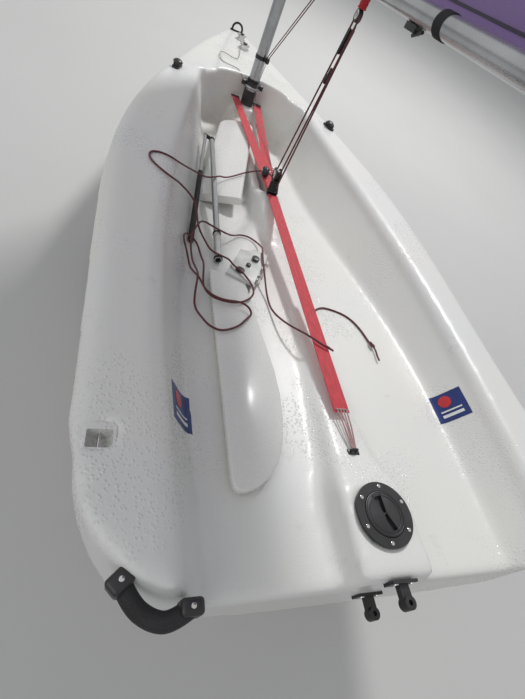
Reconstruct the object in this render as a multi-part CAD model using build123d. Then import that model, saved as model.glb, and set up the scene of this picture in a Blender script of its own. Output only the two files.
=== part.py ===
"""A single-handed sailing dinghy standing on its launching trolley, in millimetres.

The boat has its own frame: x to starboard, y forward from the transom, z up from the gunwale
at the transom. Everything on the boat is modelled level there and put down on the trolley last,
bow down. The trolley is modelled in the finished frame, with z = 0 at the ground.
"""
import os
from math import atan2, cos, degrees, hypot, pi, radians, sin, tan

from build123d import *

# How the boat stands on its trolley
TRIM = 7.2                    # bow-down angle, degrees
STERN_HEIGHT = 922.0          # gunwale at the transom above the ground

# Hull
LENGTH = 3860.0
SHEER = 60.0                  # rise of the gunwale from transom to bow
GUNWALE_R = 55.0              # round of the gunwale
CORNER_R = 230.0              # round of the stern corners, seen from above
TRANSOM_HALF = 655.0          # half-width at the transom, before the corners are rounded
# y, half-beam, half-width of the chine, chine z, keel z
HULL = [(-60, 645, 500, -262, -325), (650, 692, 560, -285, -385), (1350, 712, 560, -300, -418),
        (2050, 632, 470, -300, -420), (2650, 478, 325, -285, -395), (3250, 292, 165, -250, -345),
        (3640, 146, 66, -205, -275), (LENGTH, 42, 16, -140, -185)]

# Cockpit: y, half-width of the floor, floor z, half-width at deck level
WELL = [(-120, 392, -118, 448), (450, 430, -149, 492), (1000, 412, -180, 500),
        (1550, 328, -222, 455), (2150, 268, -250, 380), (2900, 215, -268, 275)]
WELL_ROLL = 45.0              # round where the side decks turn down into the cockpit
ARCH_SIDE_Y = 2590.0          # aft edge of the foredeck at its sides
ARCH_MID_Y = 2742.0           # and on the centre line, where it goes round the mast
ARCH_HALF = 300.0

# Raised panel of the foredeck: y, half-width
PANEL = [(2590, 255), (3150, 165), (3690, 52)]
PANEL_H = 16.0

# Centre spine with the daggerboard case: y, half-width on top, top z, half-width at its foot
CASE = [(2760, 70, -150, 105), (1720, 62, -150, 100), (1610, 52, -116, 96), (1480, 40, -150, 88),
        (1330, 26, -205, 60)]
TAIL = [(900, 20, -160, 60), (520, 44, -128, 90), (290, 62, -100, 108), (190, 90, -66, 122),
        (-120, 90, -62, 122)]
SLOT_LENGTH, SLOT_WIDTH, SLOT_Y = 330.0, 40.0, 1830.0

# Mast and boom
MAST_Y = 2690.0
MAST_D, MAST_WALL = 65.0, 2.5
TOP_D = 54.0                  # upper half, which plugs into the lower one
MAST_FOOT_Z = -96.0
MAST_TOP_Z = 5560.0
MAST_JOIN_Z = 2700.0
MAST_GAP = 0.3               # between the mast's foot and its step
BOOM_Z, BOOM_D, BOOM_WALL = 684.0, 57.0, 2.0
BOOM_START, BOOM_LENGTH = 62.0, 2700.0     # from the mast's axis
BOOM_ANGLE = 2.0              # out to starboard
SHEET_Y = 1620.0              # where the mainsheet goes up

# Hatch in the aft spine
HATCH_Y, HATCH_Z = 130.0, -62.0
HATCH_FLANGE_D, HATCH_BORE_D, HATCH_LID_D = 146.0, 104.0, 102.0

# Trolley
AXLE_Y, AXLE_Z, AXLE_D = 1450.0, 205.0, 42.0
WHEEL_D, WHEEL_W, TRACK = 410.0, 105.0, 1290.0
SPINE_D = 50.0
HANDLE_Y, HANDLE_D, HANDLE_HALF = 4170.0, 34.0, 260.0

COLLAR_Z, COLLAR_H, COLLAR_D, COLLAR_GAP = 2.0, 30.0, 98.0, 0.5
SLEEVE_H, SLEEVE_D = 84.0, 77.0

# Fittings: where they sit on the deck
FAIRLEAD_X, FAIRLEAD_Y = 470.0, 2429.0
DRUM_Y, TACK_Y = 3500.0, 3290.0
BOW_HANDLE_Y, BOW_HANDLE_R, BOW_HANDLE_D = 3770.0, 38.0, 15.0
STERN_HANDLE_A, STERN_HANDLE_B = (572.0, 48.0), (462.0, 0.0)
RATCHET_Y, RATCHET_Z, RATCHET_D = 1650.0, -36.0, 62.0
BOOM_CLEAT_Y = 1229.0
GUDGEON_Z, GUDGEON_LOW_Z, GUDGEON_BORE, GUDGEON_REACH = -78.0, -205.0, 10.0, 34.0

# Toe straps
STRAP_W, STRAP_T = 50.0, 2.6
STRAP_FRONT = (76.0, 2748.0, -84.0)
STRAP_BACK = (2.0, 1631.0, -108.0)
STRAP_REAR_A, STRAP_REAR_B = (0.0, 1598.0, -109.6), (0.0, 415.0, -96.0)

# Daggerboard, lying with its head aft and its starboard side up on the case
BOARD_L, BOARD_W, BOARD_T = 880.0, 196.0, 36.0
BOARD_TILT, BOARD_YAW = 15.3, 11.0
BOARD_AT = (-155.0, 1985.0)

# Rudder, lying on the floor, its tip aft
BLADE_L, BLADE_W, BLADE_T = 800.0, 172.0, 20.0
BLADE_X, BLADE_TIP_Y = -264.0, 200.0
STOCK_L, STOCK_W, STOCK_T = 235.0, 104.0, 40.0
STOCK_PIVOT, STOCK_YAW, STOCK_X = (46.0, 765.0), 24.0, 40.0
TILLER_D, EXTENSION_D, GRIP_D = 25.0, 17.0, 23.0
TILLER_A, TILLER_B = (-285.0, 1085.0, -169.0), (-264.0, 2020.0, -118.0)
EXT_A, EXT_B = (-296.0, 2040.0, -118.0), (-384.0, 1178.0, -177.3)


PARTS = {}


def on_boat(shape):
    """Put a shape from the boat's frame down on the trolley."""
    return Pos(0, 0, STERN_HEIGHT) * Rot(-TRIM, 0, 0) * shape


def boat(name, shape):
    PARTS[name] = on_boat(shape)


def ground(name, shape):
    PARTS[name] = shape


def line(a, b):
    return Edge.make_line(a, b)


def arc(a, m, b):
    return Edge.make_three_point_arc(a, m, b)


def gunwale(y):
    return SHEER * (max(y, 0) / LENGTH) ** 2


def between(table, y, column):
    """A table's column at station y, on straight lines between its rows."""
    rows = sorted(table)
    for low, high in zip(rows, rows[1:]):
        if low[0] <= y <= high[0]:
            share = (y - low[0]) / (high[0] - low[0])
            return low[column] + share * (high[column] - low[column])
    return rows[0][column] if y < rows[0][0] else rows[-1][column]


def tube(start, end, outer, wall=0.0):
    """A round tube or, with no wall, a round bar between two points."""
    a, b = Vector(*start), Vector(*end)
    along = b - a
    plane = Plane(origin=a, z_dir=along.normalized())
    bar = extrude(plane * Circle(outer / 2), amount=along.length)
    if wall:
        bar -= extrude(plane * Circle(outer / 2 - wall), amount=along.length)
    return bar


def hull_section(y, beam, chine, chine_z, keel_z):
    g, r = gunwale(y), min(GUNWALE_R, beam * 0.7)
    low, bend = r * (1 - cos(pi / 4)), r * sin(pi / 4)
    edges = [arc((-chine, y, chine_z), (0, y, keel_z), (chine, y, chine_z)),
             line((chine, y, chine_z), (beam, y, g - r)),
             arc((beam, y, g - r), (beam - low, y, g - r + bend), (beam - r, y, g)),
             line((beam - r, y, g), (r - beam, y, g)),
             arc((r - beam, y, g), (low - beam, y, g - r + bend), (-beam, y, g - r)),
             line((-beam, y, g - r), (-chine, y, chine_z))]
    return Wire(edges)


def well_section(y, floor, floor_z, top):
    """The cockpit's section, open at the top, whose upper corners roll over onto the side decks."""
    g, r = gunwale(y), WELL_ROLL
    over, low, bend = 120.0, r * (1 - cos(pi / 4)), r * sin(pi / 4)
    right = [line((floor, y, floor_z), (top, y, g - r)),
             arc((top, y, g - r), (top + low, y, g - r + bend), (top + r, y, g)),
             line((top + r, y, g), (top + r, y, g + over))]
    left = [line((-top - r, y, g + over), (-top - r, y, g)),
            arc((-top - r, y, g), (-top - low, y, g - r + bend), (-top, y, g - r)),
            line((-top, y, g - r), (-floor, y, floor_z))]
    roof = line((top + r, y, g + over), (-top - r, y, g + over))
    return Wire(right + [roof] + left + [line((-floor, y, floor_z), (floor, y, floor_z))])


def ridge_section(y, top, top_z, foot, foot_z):
    pts = [(-foot, y, foot_z), (foot, y, foot_z), (top, y, top_z), (-top, y, top_z)]
    return Wire([line(a, b) for a, b in zip(pts, pts[1:] + pts[:1])])


def ridge(table):
    deep = 40.0
    rows = sorted(table)
    return Solid.make_loft([ridge_section(y, top, z, foot, between(WELL, y, 2) - deep)
                            for y, top, z, foot in rows], ruled=True)


def make_hull():
    shell = Solid.make_loft([hull_section(*row) for row in HULL])
    plan = Plane.XY.offset(-600) * make_face(Wire([
        line((-TRANSOM_HALF + CORNER_R, 0, 0), (TRANSOM_HALF - CORNER_R, 0, 0)),
        arc((TRANSOM_HALF - CORNER_R, 0, 0),
            (TRANSOM_HALF - CORNER_R * (1 - sin(pi / 4)), CORNER_R * (1 - sin(pi / 4)), 0),
            (TRANSOM_HALF, CORNER_R, 0)),
        line((TRANSOM_HALF, CORNER_R, 0), (900, 1100, 0)),
        line((900, 1100, 0), (900, LENGTH + 100, 0)),
        line((900, LENGTH + 100, 0), (-900, LENGTH + 100, 0)),
        line((-900, LENGTH + 100, 0), (-900, 1100, 0)),
        line((-900, 1100, 0), (-TRANSOM_HALF, CORNER_R, 0)),
        arc((-TRANSOM_HALF, CORNER_R, 0),
            (-TRANSOM_HALF + CORNER_R * (1 - sin(pi / 4)), CORNER_R * (1 - sin(pi / 4)), 0),
            (-TRANSOM_HALF + CORNER_R, 0, 0))]).edges())
    shell = shell & extrude(plan, amount=900)
    panel = Solid.make_loft([ridge_section(y, half - PANEL_H, gunwale(y) + PANEL_H, half + 6, gunwale(y) - 20)
                             for y, half in PANEL])
    shell = shell + panel
    well = Solid.make_loft([well_section(*row) for row in WELL])
    arch = Plane.XY.offset(-500) * make_face(Wire([
        line((-ARCH_HALF, ARCH_SIDE_Y, 0), (-700, ARCH_SIDE_Y - 60, 0)),
        line((-700, ARCH_SIDE_Y - 60, 0), (-700, -300, 0)),
        line((-700, -300, 0), (700, -300, 0)),
        line((700, -300, 0), (700, ARCH_SIDE_Y - 60, 0)),
        line((700, ARCH_SIDE_Y - 60, 0), (ARCH_HALF, ARCH_SIDE_Y, 0)),
        arc((ARCH_HALF, ARCH_SIDE_Y, 0), (0, ARCH_MID_Y, 0), (-ARCH_HALF, ARCH_SIDE_Y, 0))]).edges())
    shell = shell - (well & extrude(arch, amount=900))
    inside = extrude(plan, amount=900)
    shell = shell + (ridge(CASE) & extrude(arch, amount=900)) + (ridge(TAIL) & inside)
    step = Pos(0, ARCH_MID_Y - 62, 0) * Box(90, 150, 400)
    step = step & (Pos(0, ARCH_MID_Y, MAST_FOOT_Z - MAST_GAP - 90) * Box(600, 600, 180))
    shell = shell + step
    shell -= Pos(0, SLOT_Y, -300) * Box(SLOT_WIDTH, SLOT_LENGTH, 700)
    shell -= Pos(0, HATCH_Y, HATCH_Z - 30) * Cylinder(HATCH_BORE_D / 2 + 6, 62)
    shell -= Pos(0, HATCH_Y, HATCH_Z + 30) * Cylinder(HATCH_FLANGE_D / 2 + 3, 60)
    for side in (-1, 1):
        shell -= Pos(side * POCKET_X, POCKET_Y, gunwale(POCKET_Y) - 16) * Box(POCKET_L, POCKET_W, 60)
    return shell


# Hiking-line pockets in the side decks
POCKET_X, POCKET_Y, POCKET_L, POCKET_W, POCKET_BAR_D = 618.0, 262.0, 48.0, 52.0, 7.0


def make_pocket_bar(side):
    x, z = side * POCKET_X, gunwale(POCKET_Y) - 22
    half = POCKET_W / 2
    return tube((x, POCKET_Y - half, z), (x, POCKET_Y + half, z), POCKET_BAR_D)


def make_mast():
    """Foot, lower half, joint ring, upper half and cap, on the mast's own axis."""
    foot = tube((0, MAST_Y, MAST_FOOT_Z), (0, MAST_Y, MAST_FOOT_Z + SLEEVE_H), SLEEVE_D, (SLEEVE_D - MAST_D) / 2)
    plug = Pos(0, MAST_Y, MAST_FOOT_Z + 3) * Cylinder(MAST_D / 2 + 1, 6)
    lower = tube((0, MAST_Y, MAST_FOOT_Z + 6), (0, MAST_Y, MAST_JOIN_Z), MAST_D, MAST_WALL)
    upper = tube((0, MAST_Y, MAST_JOIN_Z - 300), (0, MAST_Y, MAST_TOP_Z), TOP_D, MAST_WALL)
    ring = tube((0, MAST_Y, MAST_JOIN_Z), (0, MAST_Y, MAST_JOIN_Z + 30), MAST_D, (MAST_D - TOP_D) / 2)
    bush = tube((0, MAST_Y, MAST_JOIN_Z - 300), (0, MAST_Y, MAST_JOIN_Z - 270),
                MAST_D - 2 * MAST_WALL, (MAST_D - 2 * MAST_WALL - TOP_D) / 2)
    cap = Pos(0, MAST_Y, MAST_TOP_Z + 10) * Cylinder(TOP_D / 2 + 3, 20)
    return foot + plug, lower, upper + bush, ring, cap


def out_on_boom(shape):
    """Turn a shape modelled along a centred boom to the boom's angle at rest."""
    return Pos(0, MAST_Y, 0) * Rot(0, 0, BOOM_ANGLE) * Pos(0, -MAST_Y, 0) * shape


def make_sail():
    """A thin cambered panel between mast and boom: luff, foot and a leech with a little roach."""
    thick = 6.0
    luff = MAST_D / 2 + 0.4
    rows = [(BOOM_Z + BOOM_D / 2 + 0.4, 2560.0, 110.0), (BOOM_Z + 1500, 2090.0, 150.0),
            (BOOM_Z + 3100, 1290.0, 100.0), (BOOM_Z + 4700, 190.0, 10.0)]
    wires = []
    for z, chord, camber in rows:
        a, b = MAST_Y - luff, MAST_Y - luff - chord
        mid = (a + b) / 2
        wires.append(Wire([arc((0, a, z), (camber, mid, z), (0, b, z)),
                           line((0, b, z), (thick, b, z)),
                           arc((thick, b, z), (camber + thick, mid, z), (thick, a, z)),
                           line((thick, a, z), (0, a, z))]))
    return Solid.make_loft(wires, ruled=True)


def make_wheel(side):
    x = side * TRACK / 2
    rim_d, hub_d = 210.0, 62.0
    turn = Rot(0, 90, 0)
    tyre_section = Plane.XZ * (Pos((WHEEL_D - 100) / 2, 0) * RectangleRounded(100, WHEEL_W, 46))
    tyre = revolve(tyre_section, Axis.Z)
    rim = Cylinder(rim_d / 2 + 1, 70) - Cylinder(rim_d / 2 - 7, 80)
    rim += Cylinder(rim_d / 2 - 6, 14) + Cylinder(hub_d / 2, 84)
    for k in range(5):
        rim -= Rot(0, 0, 72 * k) * Pos(66, 0, 0) * Cylinder(19, 30)
    rim -= Cylinder(AXLE_D / 2 + 0.6, 200)
    tyre -= Cylinder(rim_d / 2 + 1.2, 200)
    place = Pos(x, AXLE_Y, AXLE_Z) * turn
    return place * tyre, place * rim


def make_trolley():
    half = TRACK / 2 + 52
    axle = tube((-half, AXLE_Y, AXLE_Z), (half, AXLE_Y, AXLE_Z), AXLE_D, 3.5)
    foot = (0, HANDLE_Y, HANDLE_D / 2 + 8)
    spine = tube((0, AXLE_Y, AXLE_Z), foot, SPINE_D, 3)
    bar = tube((-HANDLE_HALF, HANDLE_Y + 10, HANDLE_D / 2), (HANDLE_HALF, HANDLE_Y + 10, HANDLE_D / 2), HANDLE_D, 3)
    spine = biggest(spine - tube((-half, AXLE_Y, AXLE_Z), (half, AXLE_Y, AXLE_Z), AXLE_D + 0.1))
    spine -= tube((-HANDLE_HALF, HANDLE_Y + 10, HANDLE_D / 2), (HANDLE_HALF, HANDLE_Y + 10, HANDLE_D / 2), HANDLE_D)
    return axle, spine, bar


def strap(start, end, width=STRAP_W, thick=STRAP_T):
    """A flat band between two points, its width across the boat."""
    a, b = Vector(*start), Vector(*end)
    along = (b - a).normalized()
    plane = Plane(origin=a, x_dir=along.cross(Vector(0, 0, 1)).normalized(), z_dir=along)
    return extrude(plane * Rectangle(width, thick), amount=(b - a).length)


def make_collar():
    """The mast's bearing at deck level: a clamp ring, its flange on the bulkhead and two bolts."""
    bore = MAST_D + 2 * COLLAR_GAP
    ring = Pos(0, MAST_Y, COLLAR_Z + COLLAR_H / 2) * Cylinder(COLLAR_D / 2, COLLAR_H)
    lug = Pos(0, MAST_Y + 52, COLLAR_Z + COLLAR_H / 2) * Box(84, 56, COLLAR_H)
    collar = ring + lug
    for side in (-1, 1):
        collar += Pos(side * 56, MAST_Y, COLLAR_Z + COLLAR_H / 2) * Box(24, 26, COLLAR_H - 6)
        bolt = Pos(side * 58, MAST_Y, COLLAR_Z + COLLAR_H / 2) * Rot(90, 0, 0) * Cylinder(4.5, 42)
        collar += bolt
    return collar - Pos(0, MAST_Y, 0) * Cylinder(bore / 2, 200)


def make_fairlead(side):
    """Jib fairlead with its cam beside it, on one plate."""
    z = gunwale(FAIRLEAD_Y)
    place = Pos(side * FAIRLEAD_X, FAIRLEAD_Y, z) * Rot(0, 0, side * 18)
    plate = place * Pos(0, 0, 3) * extrude(RectangleRounded(36, 92, 14), amount=6, both=True)
    plate = plate & (Pos(side * FAIRLEAD_X, FAIRLEAD_Y, z + 50) * Box(200, 200, 100))
    drum = place * Pos(0, -20, 16) * Cylinder(17, 20)
    drum -= place * Pos(0, -20, 18) * Rot(0, 90, 0) * Cylinder(5, 60)
    eye = place * Pos(0, 24, 14) * Cylinder(12, 16)
    eye -= place * Pos(0, 24, 16) * Rot(0, 90, 0) * Cylinder(4, 60)
    return plate + drum + eye


def make_bow_handle():
    """A rubber-covered loop standing on two feet at the bow, leaning forward."""
    z = gunwale(BOW_HANDLE_Y) + PANEL_H * 0
    ring = Rot(90, 0, 0) * Torus(BOW_HANDLE_R, BOW_HANDLE_D / 2)
    loop = ring & (Pos(0, 0, 60) * Box(200, 60, 120))
    legs = [Pos(s * BOW_HANDLE_R, 0, -9) * Cylinder(BOW_HANDLE_D / 2, 18) for s in (-1, 1)]
    feet = Pos(0, 0, -14) * Box(2 * BOW_HANDLE_R + 26, 24, 8)
    loop = loop + legs[0] + legs[1] + feet
    return Pos(0, BOW_HANDLE_Y, z + 18.3) * loop


def make_stern_handle(side):
    """A webbing handle with end caps, bowed out from the round of the stern corner."""
    (xa, ya), (xb, yb) = STERN_HANDLE_A, STERN_HANDLE_B
    z = -34.0
    a, b = Vector(side * xa, ya - 14, z), Vector(side * xb, yb - 12, z)
    mid = (a + b) * 0.5 + Vector(side * 12, -62, -14)
    path = Edge.make_three_point_arc(a, mid, b)
    plane = Plane(origin=a, z_dir=path % 0)
    grip = sweep(plane * RectangleRounded(26, 15, 6), path=path)
    caps = [Pos(side * xa, ya - 10, z) * Rot(0, 0, side * -42) * Box(34, 24, 40),
            Pos(side * xb, yb - 11, z) * Box(34, 22, 40)]
    return grip + caps[0] + caps[1]


def make_hatch():
    ring = Pos(0, HATCH_Y, HATCH_Z) * Cylinder(HATCH_FLANGE_D / 2, 6, align=(Align.CENTER, Align.CENTER, Align.MIN))
    neck = Pos(0, HATCH_Y, HATCH_Z - 26) * Cylinder(HATCH_BORE_D / 2 + 5, 26, align=(Align.CENTER, Align.CENTER, Align.MIN))
    ring = ring + neck - Pos(0, HATCH_Y, 0) * Cylinder(HATCH_BORE_D / 2, 400)
    lid = Pos(0, HATCH_Y, HATCH_Z - 20) * Cylinder(HATCH_LID_D / 2, 26, align=(Align.CENTER, Align.CENTER, Align.MIN))
    lid -= Pos(0, HATCH_Y, HATCH_Z + 2) * Cylinder(HATCH_LID_D / 2 - 7, 14, align=(Align.CENTER, Align.CENTER, Align.MIN))
    bow_tie = make_face(Wire.make_polygon([(-42, -15, 0), (-6, -5, 0), (6, -5, 0), (42, -15, 0),
                                           (42, 15, 0), (6, 5, 0), (-6, 5, 0), (-42, 15, 0)], close=True).edges())
    grip = Pos(0, HATCH_Y, HATCH_Z + 1) * Rot(0, 0, 62) * extrude(bow_tie, amount=9)
    return ring, lid + grip


def make_gudgeon(z, wide):
    """A plate on the transom with an arm and an upright bore for the rudder's pintle."""
    reach = GUDGEON_REACH
    plate = Pos(0, -3, z) * Box(wide, 6, 34)
    arm = Pos(0, -reach / 2 - 3, z) * Box(24, reach + 2, 14)
    eye = Pos(0, -reach - 6, z) * Cylinder(13, 24)
    return plate + arm + eye - Pos(0, -reach - 6, z) * Cylinder(GUDGEON_BORE / 2, 60)


def make_ratchet():
    """Mainsheet block on its post: cheeks, sheave and base on the hump."""
    post = tube((0, 1614, -110), (0, RATCHET_Y - 6, RATCHET_Z - 34), 17)
    base = Pos(0, 1614, -111.2) * Cylinder(26, 30, align=(Align.CENTER, Align.CENTER, Align.MAX))
    axle = Pos(0, RATCHET_Y, RATCHET_Z) * Rot(0, 90, 0)
    cheeks = [axle * Pos(0, 0, s * 11) * Cylinder(RATCHET_D / 2, 4) for s in (-1, 1)]
    sheave = axle * Cylinder(RATCHET_D / 2 - 7, 19)
    yoke = Pos(0, RATCHET_Y - 8, RATCHET_Z - 24) * Box(26, 20, 18)
    return base + post, cheeks[0] + cheeks[1] + sheave + yoke


def make_cam_cleat():
    """The ball-shaped cleat block under the forward straps."""
    x, y, z = CAM_AT
    body = Pos(x, y, z) * Sphere(15)
    body += Pos(x, y, z) * Rot(90, 0, 0) * Cylinder(11, 44)
    foot = Pos(x, y, z - 9) * Cylinder(13, 30, align=(Align.CENTER, Align.CENTER, Align.MAX))
    return body + foot


CAM_AT = (44.0, 1850.0, -122.8)


def board_plane():
    rise = radians(BOARD_TILT)
    edge_x = -CASE[1][1] - 4
    return Plane(origin=(edge_x, BOARD_AT[1], CASE[1][2] + 0.7), x_dir=(cos(rise), 0, sin(rise)),
                 z_dir=(-sin(rise), 0, cos(rise)))


def make_board():
    """The daggerboard: square head, rounded tip, edges brought thin."""
    edge_x = -CASE[1][1] - 4
    u = (BOARD_AT[0] - edge_x) / cos(radians(BOARD_TILT))
    half, long = BOARD_W / 2, BOARD_L / 2
    tip_r = 70.0
    outline = make_face(Wire([
        line((-half, -long, 0), (half, -long, 0)), line((half, -long, 0), (half, long - tip_r, 0)),
        arc((half, long - tip_r, 0), (half - tip_r * 0.293, long - tip_r * 0.293, 0), (half - tip_r, long, 0)),
        line((half - tip_r, long, 0), (tip_r - half, long, 0)),
        arc((tip_r - half, long, 0), (tip_r * 0.293 - half, long - tip_r * 0.293, 0), (-half, long - tip_r, 0)),
        line((-half, long - tip_r, 0), (-half, -long, 0))]).edges())
    slab = extrude(outline, amount=BOARD_T)
    sides = [e for e in slab.edges().filter_by(Axis.Y)]
    slab = fillet(sides, BOARD_T * 0.4)
    local = Pos(u, 0, 0) * Rot(0, 0, -BOARD_YAW) * slab
    return board_plane().location * local


def floor_plane(y):
    """The cockpit floor's line in its straight aft half."""
    low, high = WELL[0], WELL[2]
    rise = atan2(high[2] - low[2], high[0] - low[0])
    return Plane(origin=(0, y, between(WELL, y, 2)), x_dir=(1, 0, 0), z_dir=(0, -sin(rise), cos(rise)))


def make_rudder():
    """Blade, stock with its cheeks and pintles, lying flat on the floor."""
    place = floor_plane(BLADE_TIP_Y).location * Pos(BLADE_X, 0, 1.5)
    half = BLADE_W / 2
    big, small = 95.0, 34.0
    outline = make_face(Wire([
        arc((-half, small, 0), (small * 0.293 - half, small * 0.293, 0), (small - half, 0, 0)),
        line((small - half, 0, 0), (half - big, 14, 0)),
        arc((half - big, 14, 0), (half - big * 0.27, 14 + big * 0.33, 0), (half, 14 + big * 1.25, 0)),
        line((half, 14 + big * 1.25, 0), (half - 22, BLADE_L, 0)),
        line((half - 22, BLADE_L, 0), (22 - half, BLADE_L, 0)),
        line((22 - half, BLADE_L, 0), (-half, small, 0))]).edges())
    blade = extrude(outline, amount=BLADE_T)
    lift = (STOCK_T - BLADE_T) / 2
    blade = place * Pos(0, 0, lift) * blade
    stock_y = BLADE_L - 40
    stock = Pos(STOCK_X, stock_y + STOCK_L / 2, STOCK_T / 2) * Box(STOCK_W, STOCK_L, STOCK_T)
    stock -= Pos(0, BLADE_L, STOCK_T / 2) * Box(BLADE_W + 120, 2 * 48, BLADE_T + 0.6)
    stock -= Pos(STOCK_X - STOCK_W / 2, stock_y + STOCK_L, STOCK_T / 2) * Cylinder(42, 100)
    for y in (stock_y + 104, stock_y + STOCK_L - 32):
        eye = Pos(STOCK_X + STOCK_W / 2 + 12, y, STOCK_T / 2) * Rot(90, 0, 0) * Cylinder(9, 26)
        arm = Pos(STOCK_X + STOCK_W / 2 + 5, y, STOCK_T / 2) * Box(14, 20, 10)
        pin = Pos(STOCK_X + STOCK_W / 2 + 12, y - 26, STOCK_T / 2) * Rot(90, 0, 0) * Cylinder(4.6, 52)
        stock += eye + arm + pin
    turn = Pos(STOCK_PIVOT[0], STOCK_PIVOT[1], 0) * Rot(0, 0, -STOCK_YAW) * Pos(-STOCK_PIVOT[0], -STOCK_PIVOT[1], 0)
    return blade, place * turn * stock


def make_tiller():
    grip_a = Vector(*EXT_A) + (Vector(*EXT_B) - Vector(*EXT_A)) * 0.42
    tiller = tube(TILLER_A, TILLER_B, TILLER_D, 2)
    tail = Vector(*TILLER_A) + (Vector(*TILLER_B) - Vector(*TILLER_A)) * 0.17
    sleeve = tube(TILLER_A, tuple(tail), TILLER_D + 4, 1.9)
    stick = tube(EXT_A, EXT_B, EXTENSION_D, 1.6)
    grip = tube(tuple(grip_a), EXT_B, GRIP_D, (GRIP_D - EXTENSION_D) / 2)
    a, b = Vector(*TILLER_B), Vector(*EXT_A)
    joint = tube(tuple(a), tuple(b + (b - a).normalized() * 6), 18)
    joint -= tube(TILLER_A, tuple(a + (a - Vector(*TILLER_A)).normalized() * 40), TILLER_D + 0.4)
    joint -= tube(EXT_B, tuple(b + (b - Vector(*EXT_B)).normalized() * 40), EXTENSION_D + 0.4)
    return tiller, sleeve, stick, grip, joint


def make_gooseneck():
    """A jaw on the mast that carries the boom's front end."""
    band = tube((0, MAST_Y, BOOM_Z - 26), (0, MAST_Y, BOOM_Z + 26), MAST_D + 8, 3.8)
    reach = BOOM_START - MAST_D / 2
    arm = Pos(0, MAST_Y - MAST_D / 2 - 3 - reach / 2, BOOM_Z) * Box(20, reach, 30)
    arm -= Pos(0, MAST_Y, BOOM_Z) * Cylinder(MAST_D / 2 + 0.2, 100)
    plug_d = BOOM_D - 2 * BOOM_WALL - 0.6
    face_y = MAST_Y - BOOM_START + 0.3
    arm += tube((0, face_y, BOOM_Z), (0, face_y + 5, BOOM_Z), BOOM_D)
    arm += tube((0, face_y - 45, BOOM_Z), (0, face_y, BOOM_Z), plug_d)
    return band + arm


def make_boom_caps():
    """Plastic ends of the boom; the forward one takes the gooseneck."""
    y0, y1 = MAST_Y - BOOM_START, MAST_Y - BOOM_START - BOOM_LENGTH
    inner = BOOM_D - 2 * BOOM_WALL - 0.4
    aft = tube((0, y1, BOOM_Z), (0, y1 - 16, BOOM_Z), BOOM_D + 3)
    aft += tube((0, y1 + 60, BOOM_Z), (0, y1, BOOM_Z), inner)
    return aft


def make_boom_block():
    """The mainsheet's upper block hung under the boom on a short strop."""
    y, z = SHEET_Y, BOOM_Z - BOOM_D / 2
    ring = Pos(0, y, BOOM_Z) * Rot(90, 0, 0) * (Cylinder(BOOM_D / 2 + 2.6, 16) - Cylinder(BOOM_D / 2 + 0.1, 20))
    hang = Pos(0, y, z - 20) * Box(12, 14, 36) - tube((0, y - 40, BOOM_Z), (0, y + 40, BOOM_Z), BOOM_D + 5.2)
    axle = Pos(0, y, z - 62) * Rot(0, 90, 0)
    block = axle * Cylinder(20, 16) + Pos(0, y, z - 38) * Box(14, 14, 16)
    return ring, hang + block


def make_boom_cleat():
    z = BOOM_Z - BOOM_D / 2
    body = Pos(0, BOOM_CLEAT_Y, z - 9) * Box(22, 64, 18)
    body += Pos(0, BOOM_CLEAT_Y - 38, z - 14) * Rot(68, 0, 0) * Cylinder(5, 46)
    return body - tube((0, BOOM_CLEAT_Y - 200, BOOM_Z), (0, BOOM_CLEAT_Y + 200, BOOM_Z), BOOM_D + 0.2)


def make_kicker():
    """Blocks of the kicker: one at the mast's side, one under the boom."""
    low = Pos(30, MAST_Y - 44, 172) * Rot(0, 90, 0) * Cylinder(17, 16)
    low += Pos(20, MAST_Y - 36, 168) * Box(16, 14, 12)
    strap_band = tube((0, MAST_Y, 158), (0, MAST_Y, 178), MAST_D + 5, 2.4)
    low = low - tube((0, MAST_Y, 0), (0, MAST_Y, 400), MAST_D + 0.4)
    y = MAST_Y - 620
    high = Pos(0, y, BOOM_Z - BOOM_D / 2 - 34) * Rot(0, 90, 0) * Cylinder(17, 14)
    high += Pos(0, y, BOOM_Z - BOOM_D / 2 - 10) * Box(12, 16, 30)
    high -= tube((0, y - 40, BOOM_Z), (0, y + 40, BOOM_Z), BOOM_D + 0.2)
    return low + strap_band, high


def make_foredeck_gear():
    """Drum of the jib's furler and the turning block behind it."""
    def disc(y, d, h):
        z = gunwale(y) + PANEL_H + 0.2
        spool = Pos(0, y, z) * Cylinder(d / 2, h, align=(Align.CENTER, Align.CENTER, Align.MIN))
        waist = Cylinder(d / 2 + 5, h * 0.5) - Cylinder(d / 2 - 9, h)
        return spool - Pos(0, y, z + h / 2) * waist
    return disc(DRUM_Y, 66, 34), disc(TACK_Y, 72, 30)


def bottom_z(x, y):
    """The hull's underside at x, from the arc through its chines and keel."""
    half, zc, keel = between(HULL, y, 2), between(HULL, y, 3), between(HULL, y, 4)
    rise = zc - keel
    r = (half * half + rise * rise) / (2 * rise)
    return keel + r - (r * r - x * x) ** 0.5


def to_ground(x, y, z):
    t = radians(TRIM)
    return (x, y * cos(t) + z * sin(t), STERN_HEIGHT - y * sin(t) + z * cos(t))


def biggest(shape):
    """The largest solid of a shape, where a cut leaves a crumb behind."""
    return shape.solids().sort_by(SortBy.VOLUME)[-1]


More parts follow.
